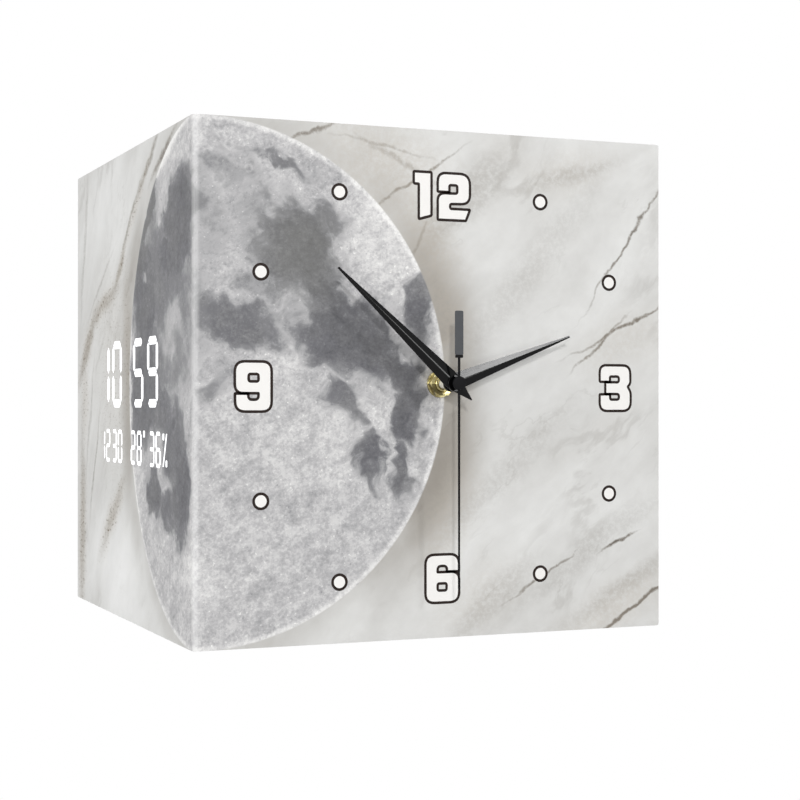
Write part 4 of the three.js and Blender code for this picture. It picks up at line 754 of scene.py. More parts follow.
# Printed figures: corners as x, y down and radius, from the top left of each figure, in millimetres;
# places are a figure, its middle on the ring, its size, and -1 where it stands on its head
figureLook = {
    "line": 1.4, "float": 0.006, "whiteSkin": 0.03, "lineSkin": 0.045, "middle": (1.7, -1.8),
    "places": [("one", -11.0, 97.8, (11.3, 25.5), 1), ("two", 6.5, 97.8, (20.0, 25.3), 1),
               ("three", 101.3, 0.0, (20.2, 25.8), 1), ("six", 0.0, -97.8, (20.1, 25.8), 1),
               ("six", -101.3, 0.0, (20.1, 25.8), -1)],
    "one": [[(0.7, 0.7, 0.5), (10.6, 0.7, 0.7), (10.6, 22.9, 0.8), (3.5, 24.9, 0.7), (3.5, 6.9, 0.4),
             (0.7, 6.9, 0.9)]],
    "two": [[(0.9, 0.6, 4.6), (19.1, 0.6, 5.8), (19.1, 16.0, 4.8), (7.9, 16.4, 0.9), (7.9, 18.8, 0.9),
             (19.1, 18.9, 0.5), (16.8, 24.7, 0.4), (0.9, 24.7, 0.6), (0.9, 11.0, 4.0), (11.9, 10.9, 1.1),
             (11.9, 6.7, 1.1), (7.5, 6.7, 0.9), (7.5, 10.3, 0.1), (0.9, 10.3, 0.5)]],
    "three": [[(0.6, 0.7, 4.0), (19.3, 0.7, 4.6), (19.4, 10.4, 1.5), (17.8, 12.1, 0.4), (19.6, 15.2, 1.5),
               (19.6, 25.1, 5.0), (0.6, 25.1, 4.5), (0.6, 16.2, 0.6), (7.0, 16.2, 0.1), (7.0, 19.0, 1.0),
               (12.3, 19.0, 1.3), (12.3, 16.05, 1.3), (4.0, 16.05, 0.2), (4.0, 9.75, 0.2), (12.3, 9.75, 1.3),
               (12.3, 6.7, 1.3), (6.9, 6.7, 0.8), (6.9, 9.55, 0.1), (0.6, 9.55, 0.9)]],
    "six": [[(0.6, 0.6, 5.0), (19.4, 0.6, 5.2), (19.4, 9.45, 0.2), (12.6, 9.45, 0.1), (12.6, 6.5, 2.0),
             (7.4, 6.5, 2.0), (7.4, 9.6, 0.2), (19.5, 9.6, 4.4), (19.5, 25.2, 5.2), (0.6, 25.2, 5.0)],
            [(7.4, 15.4, 1.1), (12.4, 15.4, 1.1), (12.4, 19.0, 1.1), (7.4, 19.0, 1.1)]],
    "dotReach": 112.5, "dotRadius": 3.7, "dotAngles": (30, 60, 120, 150, 210, 240, 300, 330),
}


def fillMesh(name, loops, lift, place):
    # flat shape inside the first loop and outside the others
    flat = [[(*p, 0.0) for p in loop] for loop in loops]
    faces = [list(f) for f in tessellate_polygon([[Vector(p) for p in loop] for loop in flat])]
    points = np.concatenate([np.asarray(loop) for loop in flat])
    points[:, 2] = lift
    return newMesh(name, place(points), faces)


def stripMesh(name, loop, width, lift, place):
    # a line of even width along a closed loop, half to each side of it
    q = np.asarray(loop, float)
    q = q[np.linalg.norm(q - np.roll(q, 1, 0), axis=1) > 1e-4]
    way = np.roll(q, -1, 0) - np.roll(q, 1, 0)
    way /= np.linalg.norm(way, axis=1, keepdims=True)
    side = np.stack([-way[:, 1], way[:, 0]], -1) * width / 2
    points = np.stack([np.c_[q + side, np.full(len(q), lift)], np.c_[q - side, np.full(len(q), lift)]], 1)
    return newMesh(name, place(points), gridFaces(len(q), 2, True, False))


def facingOut(mesh, way):
    # an open sheet is turned so that its faces look along way
    form = bmesh.new()
    form.from_mesh(mesh)
    for face in form.faces:
        if face.normal.dot(Vector(way)) < 0:
            face.normal_flip()
    form.to_mesh(mesh)
    form.free()
    return mesh


def figureLoops(name, x, y, size, turn):
    return [np.stack([x + turn * (c[:, 0] - size[0] / 2), y - turn * (c[:, 1] - size[1] / 2)], -1)
            for c in (rounded(loop) for loop in figureLook[name])]


def figurePieces():
    middleX, middleY = figureLook["middle"]
    shapes = [figureLoops(name, middleX + x, middleY + y, size, turn)
              for name, x, y, size, turn in figureLook["places"]]
    angle = np.radians(figureLook["dotAngles"])
    dots = figureLook["middle"] + figureLook["dotReach"] * np.stack([np.sin(angle), np.cos(angle)], -1)
    shapes += [[circle(figureLook["dotRadius"], x, y)] for x, y in dots]
    lift = figureLook["float"]
    white = joinedMesh("figures", *[fillMesh("fill", loops, lift, onDial) for loops in shapes])
    line = joinedMesh("lines", *[stripMesh("strip", loop, figureLook["line"], lift, onDial)
                                 for loops in shapes for loop in loops])
    for name, mesh, finish, skin in (("dial_figures_white", white, "ink_white", figureLook["whiteSkin"]),
                                     ("dial_figures_line", line, "ink_line", figureLook["lineSkin"])):
        addPiece(name, facingOut(mesh, (0, -1, 0)), finish, skin=skin)


figurePieces()
print("figures printed")

# Lit digits on the display face, from its middle: text, left edges and heights in millimetres
digitLook = {
    "float": 0.006, "skin": 0.03, "cornerShare": 0.07,
    "time": {"text": "1059", "lefts": (-67.5, -37.5, 11.0, 41.5), "middle": 6.6, "width": 23.0,
             "height": 38.0, "stroke": 5.0, "gap": 0.7},
    "small": {"text": "12302836", "lefts": (-66.0, -53.0, -37.0, -24.0, 6.0, 19.5, 46.4, 59.4),
              "middle": -34.0, "width": 10.5, "height": 19.0, "stroke": 2.4, "gap": 0.35},
    "degree": {"left": 33.5, "size": 3.6, "corner": 0.8},
    "percent": {"left": 73.5, "right": 82.5, "down": (1.0, 18.0), "dot": (3.0, 3.4), "dotCorner": 0.6,
                "slash": 2.0, "slashInset": 0.2, "slashCorner": 0.2},
}
# bars of each digit: top, middle, low, left up, left low, right up, right low
digitBars = {"0": (1, 0, 1, 1, 1, 1, 1), "1": (0, 0, 0, 0, 0, 1, 1), "2": (1, 1, 1, 0, 1, 1, 0),
             "3": (1, 1, 1, 0, 0, 1, 1), "5": (1, 1, 1, 1, 0, 0, 1), "6": (1, 1, 1, 1, 1, 0, 1),
             "8": (1, 1, 1, 1, 1, 1, 1), "9": (1, 1, 1, 1, 0, 1, 1)}


def digitLoops(row):
    # six-sided bars of seven-bar digits
    gap, stroke, middle = row["gap"], row["stroke"], row["middle"]
    half = row["height"] / 2 - stroke / 2
    y0, y1 = middle - half, middle + half
    thick = (stroke - gap) / 2
    near = gap + thick
    made = []
    for text, left in zip(row["text"], row["lefts"]):
        x0, x1 = left + stroke / 2, left + row["width"] - stroke / 2
        level = [[(x0 + gap, y), (x0 + near, y - thick), (x1 - near, y - thick), (x1 - gap, y),
                  (x1 - near, y + thick), (x0 + near, y + thick)] for y in (y1, middle, y0)]
        upright = [[(x, a + gap), (x + thick, a + near), (x + thick, b - near), (x, b - gap),
                    (x - thick, b - near), (x - thick, a + near)]
                   for x in (x0, x1) for a, b in ((middle, y1), (y0, middle))]
        made += [bar for bar, on in zip(level + upright, digitBars[text]) if on]
    return [rounded([(*p, stroke * digitLook["cornerShare"]) for p in bar], 4) for bar in made]


def signLoops(top):
    # a degree sign as a small square, and a percent sign as two squares and a slash
    look = digitLook["degree"]
    made = [roundedBox(look["left"], look["left"] + look["size"], top - look["size"], top, look["corner"], 4)]
    look = digitLook["percent"]
    left, right = look["left"], look["right"]
    high, low = (top - down for down in look["down"])
    wide, tall = look["dot"]
    near = look["slashInset"]
    far = near + look["slash"]
    slash = [(left + near, low), (left + far, low), (right - near, high), (right - far, high)]
    return made + [roundedBox(left, left + wide, high - tall, high, look["dotCorner"], 4),
                   roundedBox(right - wide, right, low, low + tall, look["dotCorner"], 4),
                   rounded([(*p, look["slashCorner"]) for p in slash], 4)]


def digitPieces():
    small = digitLook["small"]
    signs = signLoops(small["middle"] + small["height"] / 2)
    for name, loops in (("time_digits", digitLoops(digitLook["time"])),
                        ("small_digits", digitLoops(small) + signs)):
        flat = joinedMesh(name, *[fillMesh("bar", [loop], digitLook["float"], onDisplay) for loop in loops])
        addPiece(name, facingOut(flat, (-1, 0, 0)), "lit", skin=digitLook["skin"])


digitPieces()
print("digits lit")

# Hands: planes are the back of each hand in front of the panel; all lie upright before they are turned
handLook = {
    "hour": {"plane": 14.0, "reach": 72.0, "tail": 3.0, "angle": 70.0, "hole": 2.6},
    "minute": {"plane": 19.0, "reach": 84.0, "tail": 12.5, "angle": 312.0, "hole": 1.7},
    "second": {"plane": 24.0, "reach": 103.0, "angle": 180.0},
    "width": 8.8, "tip": 1.0, "edge": 0.4, "ridge": 0.9, "crease": 0.07, "lift": 0.02,
    "hub": 4.2, "hubHeight": 1.5, "hubEdge": 0.3, "shoulder": 2.1,
}
secondLook = {
    "stick": (1.3, 0.9), "thickness": 0.5, "crown": 0.35, "rows": 24, "columns": 7, "hub": 3.5,
    "hubHeight": 1.2, "sleeve": (1.1, 0.6, 2.2), "weight": (2.25, 12.7, 23.5), "weightCorner": 0.95,
    "weightEdge": 0.09, "collar": (2.05, 1.3), "collarCorner": 0.5, "lap": 0.2,
}


def onHand(look):
    # turned clockwise from twelve on the dial, at the hand's own plane
    a = math.radians(look["angle"])

    def place(points):
        p = np.asarray(points, float).reshape(-1, 3)
        x = p[:, 0] * math.cos(a) + p[:, 1] * math.sin(a)
        y = -p[:, 0] * math.sin(a) + p[:, 1] * math.cos(a)
        return onDial(np.stack([x, y, p[:, 2] + look["plane"]], -1))
    return place


def bladeMesh(look, place):
    # half width falls from the shoulder to both ends; the roof rises from both edges to a narrow flat ridge
    hub, tip, wide = handLook["hub"], handLook["tip"], handLook["width"]
    y = np.concatenate([np.linspace(-look["tail"], 0, 9), [handLook["shoulder"], hub],
                        np.linspace(hub, look["reach"], 40)[1:]])
    half = np.interp(y, [-look["tail"], 0, hub, look["reach"]],
                     [tip / 4, wide / 2 - tip / 4, wide / 2, tip / 2])
    k = handLook["crease"]
    s = np.array([-1, -0.9, -0.5, -k, 0, k, 0.5, 0.9, 1.0])
    roof = np.minimum(1.0, (1 - abs(s)) / (1 - k))
    rise = handLook["ridge"] * half / (wide / 2)
    return barMesh("blade", half, y, s, handLook["edge"] + rise[:, None] * roof, handLook["lift"], place)


def hubMesh(radius, height, place):
    # a disc with a rounded top edge
    e = handLook["hubEdge"]
    edge = quarter(radius - e, height - e, e, 5)
    return turnedMesh("hub", np.concatenate([[[0, 0], [radius, 0]], edge, [[0, height]]]), place)


def lancePiece(name, hand):
    look = handLook[hand]
    place = onHand(look)
    hub = hubMesh(handLook["hub"], handLook["hubHeight"], place)
    whole = combined(bladeMesh(look, place), hub, "UNION")
    hole = prismMesh("hole", circle(look["hole"]), -past, handLook["hubHeight"] + past, place)
    addPiece(name, combined(whole, hole, "DIFFERENCE"), "hand_black", hand + "_hand", hand + "_works",
             sharp=7.0)


def secondPieces():
    look, hand = secondLook, handLook["second"]
    place = onHand(hand)
    wide, tip = look["stick"]
    weightHalf, start, length = look["weight"]
    thick, lap = look["thickness"], look["lap"]  # joined pieces lap over each other
    # a thin bar whose width falls towards the tip and whose top is crowned
    y = np.linspace(-start - 1.0, hand["reach"], look["rows"])
    half = np.interp(y, [y[0], y[-1]], [wide / 2, tip / 2])
    s = np.linspace(-1, 1, look["columns"])
    stick = barMesh("stick", half, y, s, thick * (1 - look["crown"] * s ** 2), 0.0, place)
    outer, inner, depth = look["sleeve"]
    profile = [(inner, -depth), (outer, -depth), (outer, lap), (inner, lap)]
    sleeve = turnedMesh("sleeve", profile, place, 40, True)
    half, collarTall = look["collar"]
    outline = roundedBox(-half, half, -start - collarTall - lap, -start, look["collarCorner"])
    collar = prismMesh("collar", outline, 0.03, thick + 0.1, place)
    whole = combined(stick, hubMesh(look["hub"], look["hubHeight"], place), "UNION")
    whole = joinedMesh("second", combined(whole, collar, "UNION"), sleeve)
    addPiece("second_stick", whole, "hand_matt", "second_hand", "second_works", 35.0)
    outline = roundedBox(-weightHalf, weightHalf, -start - length, -start - collarTall, look["weightCorner"])
    plate = prismMesh("weight", outline, -0.02, thick + 0.04, place)
    addPiece("second_weight", plate, "hand_grey", None, "second_works", sharp=35.0, bevel=look["weightEdge"])


lancePiece("hour_lance", "hour")
lancePiece("minute_lance", "minute")
secondPieces()
print("hands made")

# Fixing on the dial: washer, hex nut and threaded bush on the hands' axis, heights in front of the panel
fixingLook = {
    "washer": {"outer": 7.0, "inner": 4.0, "low": 0.1, "high": 1.1, "edge": 0.22, "count": 96},
    "nut": {"flats": 12.0, "inner": 4.0, "low": 1.2, "high": 4.4, "chamfer": 0.5, "lead": 0.35, "count": 144},
    "bush": {"outer": 3.9, "inner": 2.651, "low": -5.1, "flange": 5.6, "flangeHigh": -4.3, "high": 5.4,
             "pitch": 0.75, "depth": 0.34, "runIn": 0.3, "runOut": 0.4, "lead": (0.35, 0.3), "lip": 0.15,
             "count": 72, "rings": 110},
}


def nutMesh(look):
    # each ring has the radius of the hexagon or of the chamfer cone, whichever is less
    angle = angles(look["count"])
    flat = look["flats"] / 2
    side = flat / np.cos(np.mod(angle, np.pi / 3) - np.pi / 6)  # from the axis to the hexagon
    slope = look["chamfer"] / (flat / math.cos(math.pi / 6) - flat)
    even = np.ones_like(angle)
    r, z = [], []
    for high, way in ((look["low"], 1.0), (look["high"], -1.0)):
        # bore, its lead, the face, the start of the cone and the hexagon's side
        radii = [even * look["inner"], even * (look["inner"] + look["lead"]), even * (flat - 0.15),
                 np.minimum(side, flat + 0.02), side]
        heights = [even * (high + way * look["lead"]), even * high, even * high, even * high,
                   high + way * slope * np.maximum(side - flat, 0.0)]
        r += radii[::int(way)]
        z += heights[::int(way)]
    return roundMesh("nut", np.stack(r, 1), np.stack(z, 1), onDial, True)


def carried(profile, count):
    # radius and height of a profile's rings, the same at every angle
    return (np.tile(column, (count, 1)) for column in np.array(profile, float).T)


def threadPhase(z, pitch, count):
    # share of a pitch along the axis, which moves on by one pitch in each turn
    return np.mod(z / pitch - angles(count)[:, None] / (2 * np.pi), 1.0)


def threadMesh(look):
    # the thread's height is a wave along the axis that fades in and out at its ends
    count, outer, inner, high = look["count"], look["outer"], look["inner"], look["high"]
    leadWide, leadTall = look["lead"]
    z = np.linspace(look["flangeHigh"] + 0.02, high - leadTall, look["rings"])
    wave = np.clip(1.25 * np.abs(2 * threadPhase(z, look["pitch"], count) - 1) - 0.12, 0.0, 1.0)
    fade = np.clip((z[-1] - z) / look["runOut"], 0.0, 1.0) * np.clip((z - z[0]) / look["runIn"], 0.0, 1.0)
    flange, low, flangeHigh, lip = look["flange"], look["low"], look["flangeHigh"], look["lip"]
    footR, footZ = carried([(inner, low), (flange, low), (flange, flangeHigh), (outer, flangeHigh)], count)
    headR, headZ = carried([(outer - leadWide, high), (inner + lip, high), (inner, high - lip)], count)
    r = np.concatenate([footR, outer - look["depth"] * wave * fade, headR], 1)
    z = np.concatenate([footZ, np.tile(z, (count, 1)), headZ], 1)
    return roundMesh("thread", r, z, onDial, True)


def washerMesh(look):
    # a flat ring's profile with softened edges, carried round the axis
    e, outer, inner, low, high = (look[key] for key in ("edge", "outer", "inner", "low", "high"))
    profile = [(inner, low), (outer - e, low), (outer, low + e), (outer, high - e),
               (outer - 0.3 * e, high - 0.3 * e), (outer - e, high), (inner + e, high), (inner, high - e)]
    return turnedMesh("washer", profile, onDial, look["count"], True)


addPiece("washer_ring", washerMesh(fixingLook["washer"]), "brass", "brass_washer", sharp=30.0)
addPiece("nut_six_sided", nutMesh(fixingLook["nut"]), "brass", "hex_nut", sharp=22.0)
addPiece("bush_threaded", threadMesh(fixingLook["bush"]), "brass", "threaded_bush", sharp=50.0)
print("nut, washer and bush made")

# Rear covers: x across and y up in each face's own frame, z -40 at the wall. The key window is half width,
# low, high and corner, stakes are x, y, radius and top, and vents are count, pitch, half length, half width
# and middle
coverLook = {
    "near": 82.8, "far": 128.3, "tall": 128.3, "corner": 1.2, "back": -40.0, "front": -38.0, "edge": 0.3,
    "root": 0.5,
    "screwNear": 78.5, "screwFar": 123.1, "screwTall": 123.1, "pilot": 1.3, "sunk": 2.6, "sunkDepth": 1.2,
    "keyWindow": (7.5, 83.0, 102.5, 2.2), "stakes": (17.0, 95.0, 1.25, -35.9), "serviceWindow": (42.14, 4.0),
    "vents": (6, 8.0, 20.0, 1.5, -78.0), "ventCorner": 1.45,
    "postInset": 4.0, "postReach": 74.0, "postRadius": 3.0,
}


def screwSpots(side):
    return [(side * x, y) for x in (-coverLook["screwNear"], coverLook["screwFar"])
            for y in (-coverLook["screwTall"], coverLook["screwTall"])]


def coverPiece(arm, side, place, openings, posts):
    # a flat sheet with studs joined on, then windows, pilot holes and sunk seats cut away
    look = coverLook
    back, front = look["back"], look["front"]
    ends = sorted((-side * look["near"], side * look["far"]))
    outline = roundedBox(*ends, -look["tall"], look["tall"], look["corner"])
    sheet = prismMesh("sheet", outline, back, front, place)
    stakeX, stakeY, stakeR, stakeTop = look["stakes"]
    studs = [(circle(stakeR, way * stakeX, stakeY, 24), stakeTop) for way in (-1, 1)]
    studs += [(circle(r, x, y, 32), top) for x, y, r, top in posts]
    studs = [prismMesh("stud", outline, front - look["root"], top, place) for outline, top in studs]
    half, low, high, corner = look["keyWindow"]
    through = openings + [roundedBox(-half, half, low, high, corner)]
    through += [circle(look["pilot"], x, y, 24) for x, y in screwSpots(side)]
    tools = [prismMesh("tool", outline, back - past, front + past, place) for outline in through]
    sunk = [prismMesh("sunk", circle(look["sunk"], x, y), back - past, back + look["sunkDepth"], place)
            for x, y in screwSpots(side)]
    whole = combined(sheet, joinedMesh("studs", *studs), "UNION")
    whole = combined(whole, joinedMesh("tools", *tools), "DIFFERENCE")
    whole = combined(whole, joinedMesh("sunk", *sunk), "DIFFERENCE")
    addPiece(f"{arm}_cover_sheet", whole, "white_case", f"{arm}_rear_cover", sharp=40.0, bevel=look["edge"])


def displayPosts():
    # posts that stand in from the corners of the display board and are as tall as the CAD cover is deep
    low, high = (np.array(c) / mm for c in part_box("display_board"))
    inset, middle = coverLook["postInset"], faceLook["middle"]
    x = (middle - high[1] + inset, min(middle - low[1], coverLook["postReach"]) - inset)
    z = (low[2] + inset, high[2] - inset)
    top = -faceLook["out"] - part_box("display_rear_cover")[0].x / mm
    return [(a, b, coverLook["postRadius"], top) for a in x for b in z]


def coverPieces():
    half, corner = coverLook["serviceWindow"]
    coverPiece("dial", 1.0, onDial, [roundedBox(-half, half, -half, half, corner)], [])
    count, pitch, reach, wide, middle = coverLook["vents"]
    rows = middle + (np.arange(count) - (count - 1) / 2) * pitch
    vents = [roundedBox(-reach, reach, y - wide, y + wide, coverLook["ventCorner"]) for y in rows]
    coverPiece("display", -1.0, onDisplay, vents, displayPosts())


coverPieces()

# Keyhole hangers on the stakes of the covers
hangerLook = {"half": 22.0, "low": 81.0, "high": 109.0, "corner": 2.2, "back": -37.9, "front": -36.9,
              "round": 4.5, "roundY": 90.5, "slot": 2.2, "rise": 9.0, "stake": 1.35, "edge": 0.12}


def keyholeOutline(look):
    # a round hole with a slot above it that ends in a half circle
    meet = math.asin(look["slot"] / look["round"])
    a = np.linspace(math.pi / 2 + meet, 2.5 * math.pi - meet, 48)
    b = np.linspace(0, math.pi, 20)
    return np.concatenate([
        np.stack([look["round"] * np.cos(a), look["roundY"] + look["round"] * np.sin(a)], -1),
        np.stack([look["slot"] * np.cos(b), look["roundY"] + look["rise"] + look["slot"] * np.sin(b)], -1)])


def hangerPiece(arm, place):
    # a flat plate with the keyhole and two holes for the stakes cut through
    look = hangerLook
    outline = roundedBox(-look["half"], look["half"], look["low"], look["high"], look["corner"])
    plate = prismMesh("plate", outline, look["back"], look["front"], place)
    stakeX, stakeY = coverLook["stakes"][:2]
    through = [keyholeOutline(look)] + [circle(look["stake"], way * stakeX, stakeY, 24) for way in (-1, 1)]
    tools = [prismMesh("tool", outline, look["back"] - past, look["front"] + past, place)
             for outline in through]
    addPiece(f"{arm}_hanger_plate", combined(plate, joinedMesh("tools", *tools), "DIFFERENCE"), "steel",
             f"{arm}_hanger", sharp=40.0, bevel=look["edge"])


hangerPiece("dial", onDial)
hangerPiece("display", onDisplay)
print("covers and hangers made")

# Cover screws: pan head with a cross recess, threaded shank; z runs from the head's face inwards
screwLook = {"head": 2.4, "headHeight": 1.0, "shank": 1.1, "core": 0.85, "length": 7.0, "pitch": 0.7,
             "face": -39.9, "crossLong": 1.45, "crossWide": 0.42, "crossDeep": 0.62, "crossSides": 0.14,
             "crossEnds": 0.5, "crown": 0.10, "faceRings": 20, "threadRings": 60, "count": 64}


def screwMesh(x, y, place):
    # rings of the face with its recess, of the rim, the threaded shank and the point, round the axis
    look = screwLook
    head, under, core, length = look["head"], look["headHeight"], look["core"], look["length"]
    count = look["count"]
    angle = angles(count)[:, None]
    ring = np.linspace(0, head - 0.35, look["faceRings"])
    px, py = ring * np.cos(angle), ring * np.sin(angle)

    def recess(along, across):
        # one arm of the recess, deep in the middle and with sloping sides and ends
        return (np.clip((look["crossWide"] - np.abs(across)) / look["crossSides"], 0, 1)
                * np.clip((look["crossLong"] - np.abs(along)) / look["crossEnds"], 0, 1))
    dip = look["crossDeep"] * np.maximum(recess(px, py), recess(py, px))
    faceZ = 0.02 + dip + look["crown"] * (ring / head) ** 2
    z = np.linspace(under + 0.05, length - 0.9, look["threadRings"])
    crest = np.clip(1.6 - 4.2 * np.abs(threadPhase(z, look["pitch"], count) - 0.5), 0, 1)
    rimR, rimZ = carried([(head - 0.12, 0.16), (head, 0.36), (head, under), (core, under)], count)
    tailR, tailZ = carried([(core * 0.7, length - 0.7), (0.0, length)], count)
    r = np.concatenate([np.tile(ring, (count, 1)), rimR, core + (look["shank"] - core) * crest, tailR], 1)
    h = look["face"] + np.concatenate([faceZ, rimZ, np.tile(z, (count, 1)), tailZ], 1)
    return roundMesh("screw", r, h, place, middle=(x, y))


for arm, side, place in (("dial", 1.0, onDial), ("display", -1.0, onDisplay)):
    for i, (x, y) in enumerate(screwSpots(side)):
        node = f"{arm}_cover_screw_{i + 1}"
        addPiece(node + "_cross", screwMesh(x, y, place), "steel", node, sharp=38.0)
print("screws made")

# Housings and the movement's outer pieces keep their solid's shape: finish, and width of their rounded edges
softLook = {
    "dial_housing": ("white_case", 0.35), "display_housing": ("white_case", 0.35),
    "movement_case": ("black_case", 0.25), "movement_cover": ("black_case", 0.2),
    "contact_plus": ("steel", 0.06), "contact_minus": ("steel", 0.06), "power_inlet": ("steel", 0.08),
}


def softenedPiece(node, finish, bevel):
    # a merged copy of a CAD node with its flat faces whole and its edges rounded
    form = bmesh.new()
    form.from_mesh(nodes[node].data)
    bmesh.ops.remove_doubles(form, verts=form.verts, dist=1e-6)
    bmesh.ops.dissolve_limit(form, angle_limit=math.radians(0.5), verts=form.verts, edges=form.edges)
    mesh = bpy.data.meshes.new(node + "_soft")
    form.to_mesh(mesh)
    form.free()
    addPiece(node + "_soft", mesh, finish, node, nodeBody[node], sharp=35.0, bevel=bevel)


for node, (finish, width) in softLook.items():
    softenedPiece(node, finish, width)
print("housings softened")

# Setting knob: a fluted disc with a shallow dish in its face towards the back
knobLook = {"radius": 5.0, "flutes": 14, "flute": 0.5, "edge": 0.5, "count": 168, "dish": 0.3,
            "dishRim": (1.6, 1.9)}


def knobPiece():
    # a disc's profile carried round its axis, its radius cut back by a wave for each flute
    place, deep = onNode("setting_knob", 1)
    e, r, dish = knobLook["edge"], knobLook["radius"], knobLook["dish"]
    rimOut, rimIn = knobLook["dishRim"]
    profile = np.concatenate([[[0.0, 0.0], [r, 0.0]], quarter(r - e, deep - e, e),
                              [[r - rimOut, deep - 0.02], [r - rimIn, deep - dish], [0.0, deep - dish]]])
    wave = (0.5 - 0.5 * np.cos(knobLook["flutes"] * angles(knobLook["count"]))) ** 2
    fluted = 1 - knobLook["flute"] / r * wave[:, None]
    scale = np.where(profile[:, 0] < r - 1.0, 1.0, fluted)  # the face inside the flutes stays round
    knob = turnedMesh("knob", profile, place, knobLook["count"], scale=scale)
    addPiece("setting_knob_fluted", knob, "black_case", "setting_knob", "setting_works", sharp=40.0)


# Battery: a round can with a rolled shoulder and a nub, along x
batteryLook = {"radius": 7.25, "shoulder": 0.8, "nub": 2.75, "nubLength": 1.2, "nubEdge": 0.4,
               "footDish": 0.25, "headDish": 0.15, "count": 72}


def batteryPiece():
    # one profile from the dished foot over the rolled shoulder to the nub, round the axis
    look = batteryLook
    place, length = onNode("battery", 0)
    r, e, nub, soft = look["radius"], look["shoulder"], look["nub"], look["nubEdge"]
    end = length - look["nubLength"]
    foot = [[0.0, look["footDish"]], [r - 2.2, look["footDish"]], [r - 1.6, 0.0]]
    head = [[r - 1.3, end - look["headDish"]], [nub + 0.6, end - look["headDish"]], [nub, end]]
    profile = np.concatenate([foot, quarter(r - e, e, e, foot=True), quarter(r - e, end - e, e), head,
                              quarter(nub - soft, length - soft, soft), [[0.0, length]]])
    can = turnedMesh("battery", profile, place, look["count"])
    addPiece("battery_can", can, "battery_sleeve", "battery", sharp=40.0)


# Setting buttons: a domed cap, its flange and the plunger above it, upright
buttonLook = {"radius": 3.0, "flange": 4.2, "capTop": 3.5, "flangeTop": 4.7, "plunger": 1.5, "top": 7.1,
              "edge": 0.7, "dome": 0.18, "tipEdge": 0.2, "count": 56}


def buttonPiece(number):
    # one profile from the domed face over its round edge and the flange to the plunger, round the axis
    node = f"set_button_{number}"
    look = buttonLook
    place, _ = onNode(node, 2)
    r, e, d = look["radius"], look["edge"], look["dome"]
    face = np.linspace(0, r - e, 6)
    cap = np.stack([face, d * (face / (r - e)) ** 2], -1)
    wide, thin, tip = look["flange"], look["plunger"], look["tipEdge"]
    rest = [[r, look["capTop"]], [wide, look["capTop"]], [wide, look["flangeTop"]], [thin, look["flangeTop"]],
            [thin, look["top"] - tip], [thin - tip, look["top"]], [0.0, look["top"]]]
    profile = np.concatenate([cap, quarter(r - e, d + e, e, 7, True)[1:], rest])
    addPiece(node + "_domed", turnedMesh("button", profile, place, look["count"]), "white_case", node,
             f"set_key_{number}", sharp=40.0)


knobPiece()
batteryPiece()
for number in (1, 2, 3):
    buttonPiece(number)
print("knob, battery and buttons made")

# CAD nodes that stay get their slot's finish, apart from these
stayFinish = {"ribbon_cable": "ribbon", "quartz_crystal": "steel", "coin_cell": "steel"}
for name, thing in nodes.items():
    if not thing.hide_render:
        slot = thing.data.materials[0].name.split(".")[0]
        for i in range(len(thing.data.materials)):
            thing.data.materials[i] = finishes[stayFinish.get(name, slot)]
print("frame nodes finished")

# Stage: pale floor, white surroundings and soft lamps, in metres and watts
stageLook = {
    "floorHeight": -1.30, "floorHalf": 6.0, "floorLines": 25, "around": 0.425,
    "floorDark": (0.86, 0.86, 0.86, 1.0), "floorLight": (0.9, 0.9, 0.9, 1.0),
    "whiteFrom": (0.25, 0.9),  # the floor turns white between these distances from the object
    "lamps": {  # way from aim to lamp, aim, distance, size and watts
        "key_lamp": ((-0.30, -0.92, 0.25), (0.09, -0.04, 0.0), 1.7, 0.11, 7.4),
        "facet_lamp": ((0.343, -0.863, 0.373), (0.122, -0.055, 0.012), 1.7, 0.22, 4.8),
        "ridge_lamp": ((0.395, -0.92, 0.015), (0.06, -0.06, 0.03), 1.7, 0.25, 2.2),
        "back_lamp": ((0.62, 0.62, 0.42), (0.05, 0.05, 0.0), 1.9, 1.2, 17.0),
        "side_lamp": ((-0.93, -0.30, 0.16), (-0.04, 0.09, 0.0), 1.7, 1.0, 12.5),
    },
}
fullWhite = (1.0, 1.0, 1.0, 1.0)


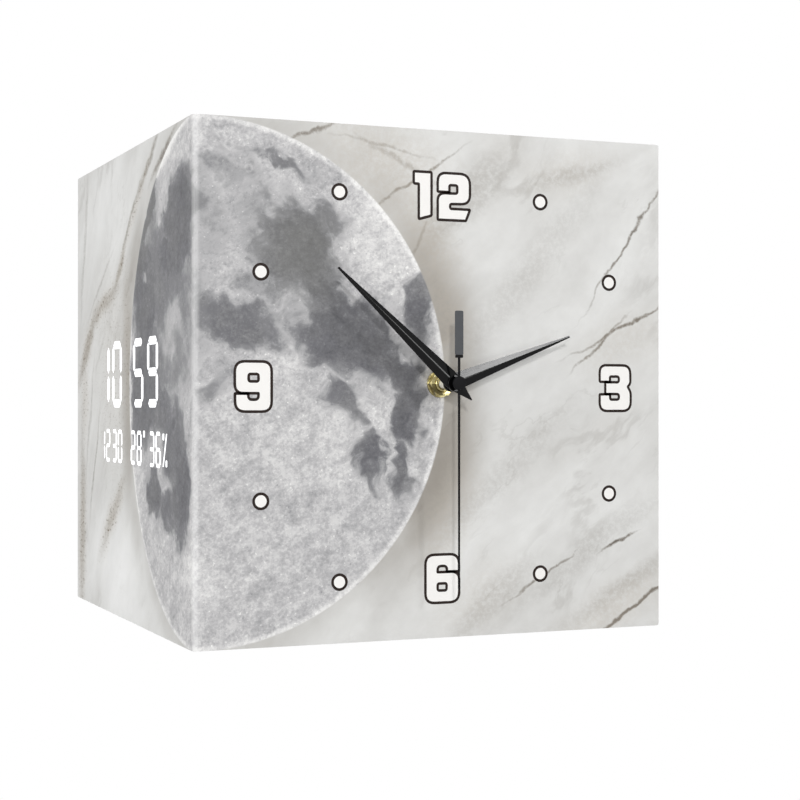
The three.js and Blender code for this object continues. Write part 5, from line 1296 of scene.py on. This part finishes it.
def whiteWhenSeen(start):
    # 1 for rays from the camera, mirrors and glass, 0 for light on the object
    path = start.node("ShaderNodeLightPath", out="Is Camera Ray")
    return most(most(path, path.output("Is Glossy Ray")), path.output("Is Transmission Ray"))


def floorPiece():
    # a level grid that reads as white away from the object
    half, lines = stageLook["floorHalf"], stageLook["floorLines"]
    s = np.linspace(-half, half, lines)
    x, y = np.meshgrid(s, s, indexing="ij")
    points = np.stack([x, y, np.full_like(x, stageLook["floorHeight"])], -1).reshape(-1, 3)
    mesh = bpy.data.meshes.new("floor")
    mesh.from_pydata(points.tolist(), [], gridFaces(lines, lines))
    material, start, place = startFinish("floor_finish")
    colour = mixed(noise(place, 2.0, 3.0), stageLook["floorDark"], stageLook["floorLight"])
    paint = start.node("ShaderNodeBsdfDiffuse", None, {"Color": colour})
    glow = start.node("ShaderNodeEmission", None, {"Color": fullWhite, "Strength": 1.0})
    away = vectorMath("LENGTH", vectorMath("MULTIPLY", place, (1.0, 1.0, 0.0)), out="Value")
    share = whiteWhenSeen(start) * smooth(away, *stageLook["whiteFrom"])
    cover = start.node("ShaderNodeMixShader", None, {0: share, 1: paint, 2: glow})
    start.node("ShaderNodeOutputMaterial", None, {"Surface": cover})
    mesh.materials.append(material)
    floor = addToScene(bpy.data.objects.new("studio_floor", mesh))


def lampPieces():
    for name, (way, aim, distance, size, watts) in stageLook["lamps"].items():
        lamp = addToScene(bpy.data.objects.new(name, bpy.data.lights.new(name, "AREA")))
        lamp.data.shape, lamp.data.size, lamp.data.energy = "DISK", size, watts
        way = Vector(way).normalized()
        lamp.location = Vector(aim) + way * distance
        lamp.rotation_euler = way.to_track_quat("Z", "Y").to_euler()


def surroundings():
    world = bpy.data.worlds.new("studio_world")
    bpy.context.scene.world = world
    world.use_nodes = True
    world.node_tree.nodes.clear()
    start = Wire(world.node_tree)
    strength = stageLook["around"] + (1.0 - stageLook["around"]) * whiteWhenSeen(start)
    sky = start.node("ShaderNodeBackground", None, {"Color": fullWhite, "Strength": strength})
    start.node("ShaderNodeOutputWorld", None, {"Surface": sky})


floorPiece()
lampPieces()
surroundings()
bpy.context.scene.view_settings.view_transform = "Standard"
print("stage set")
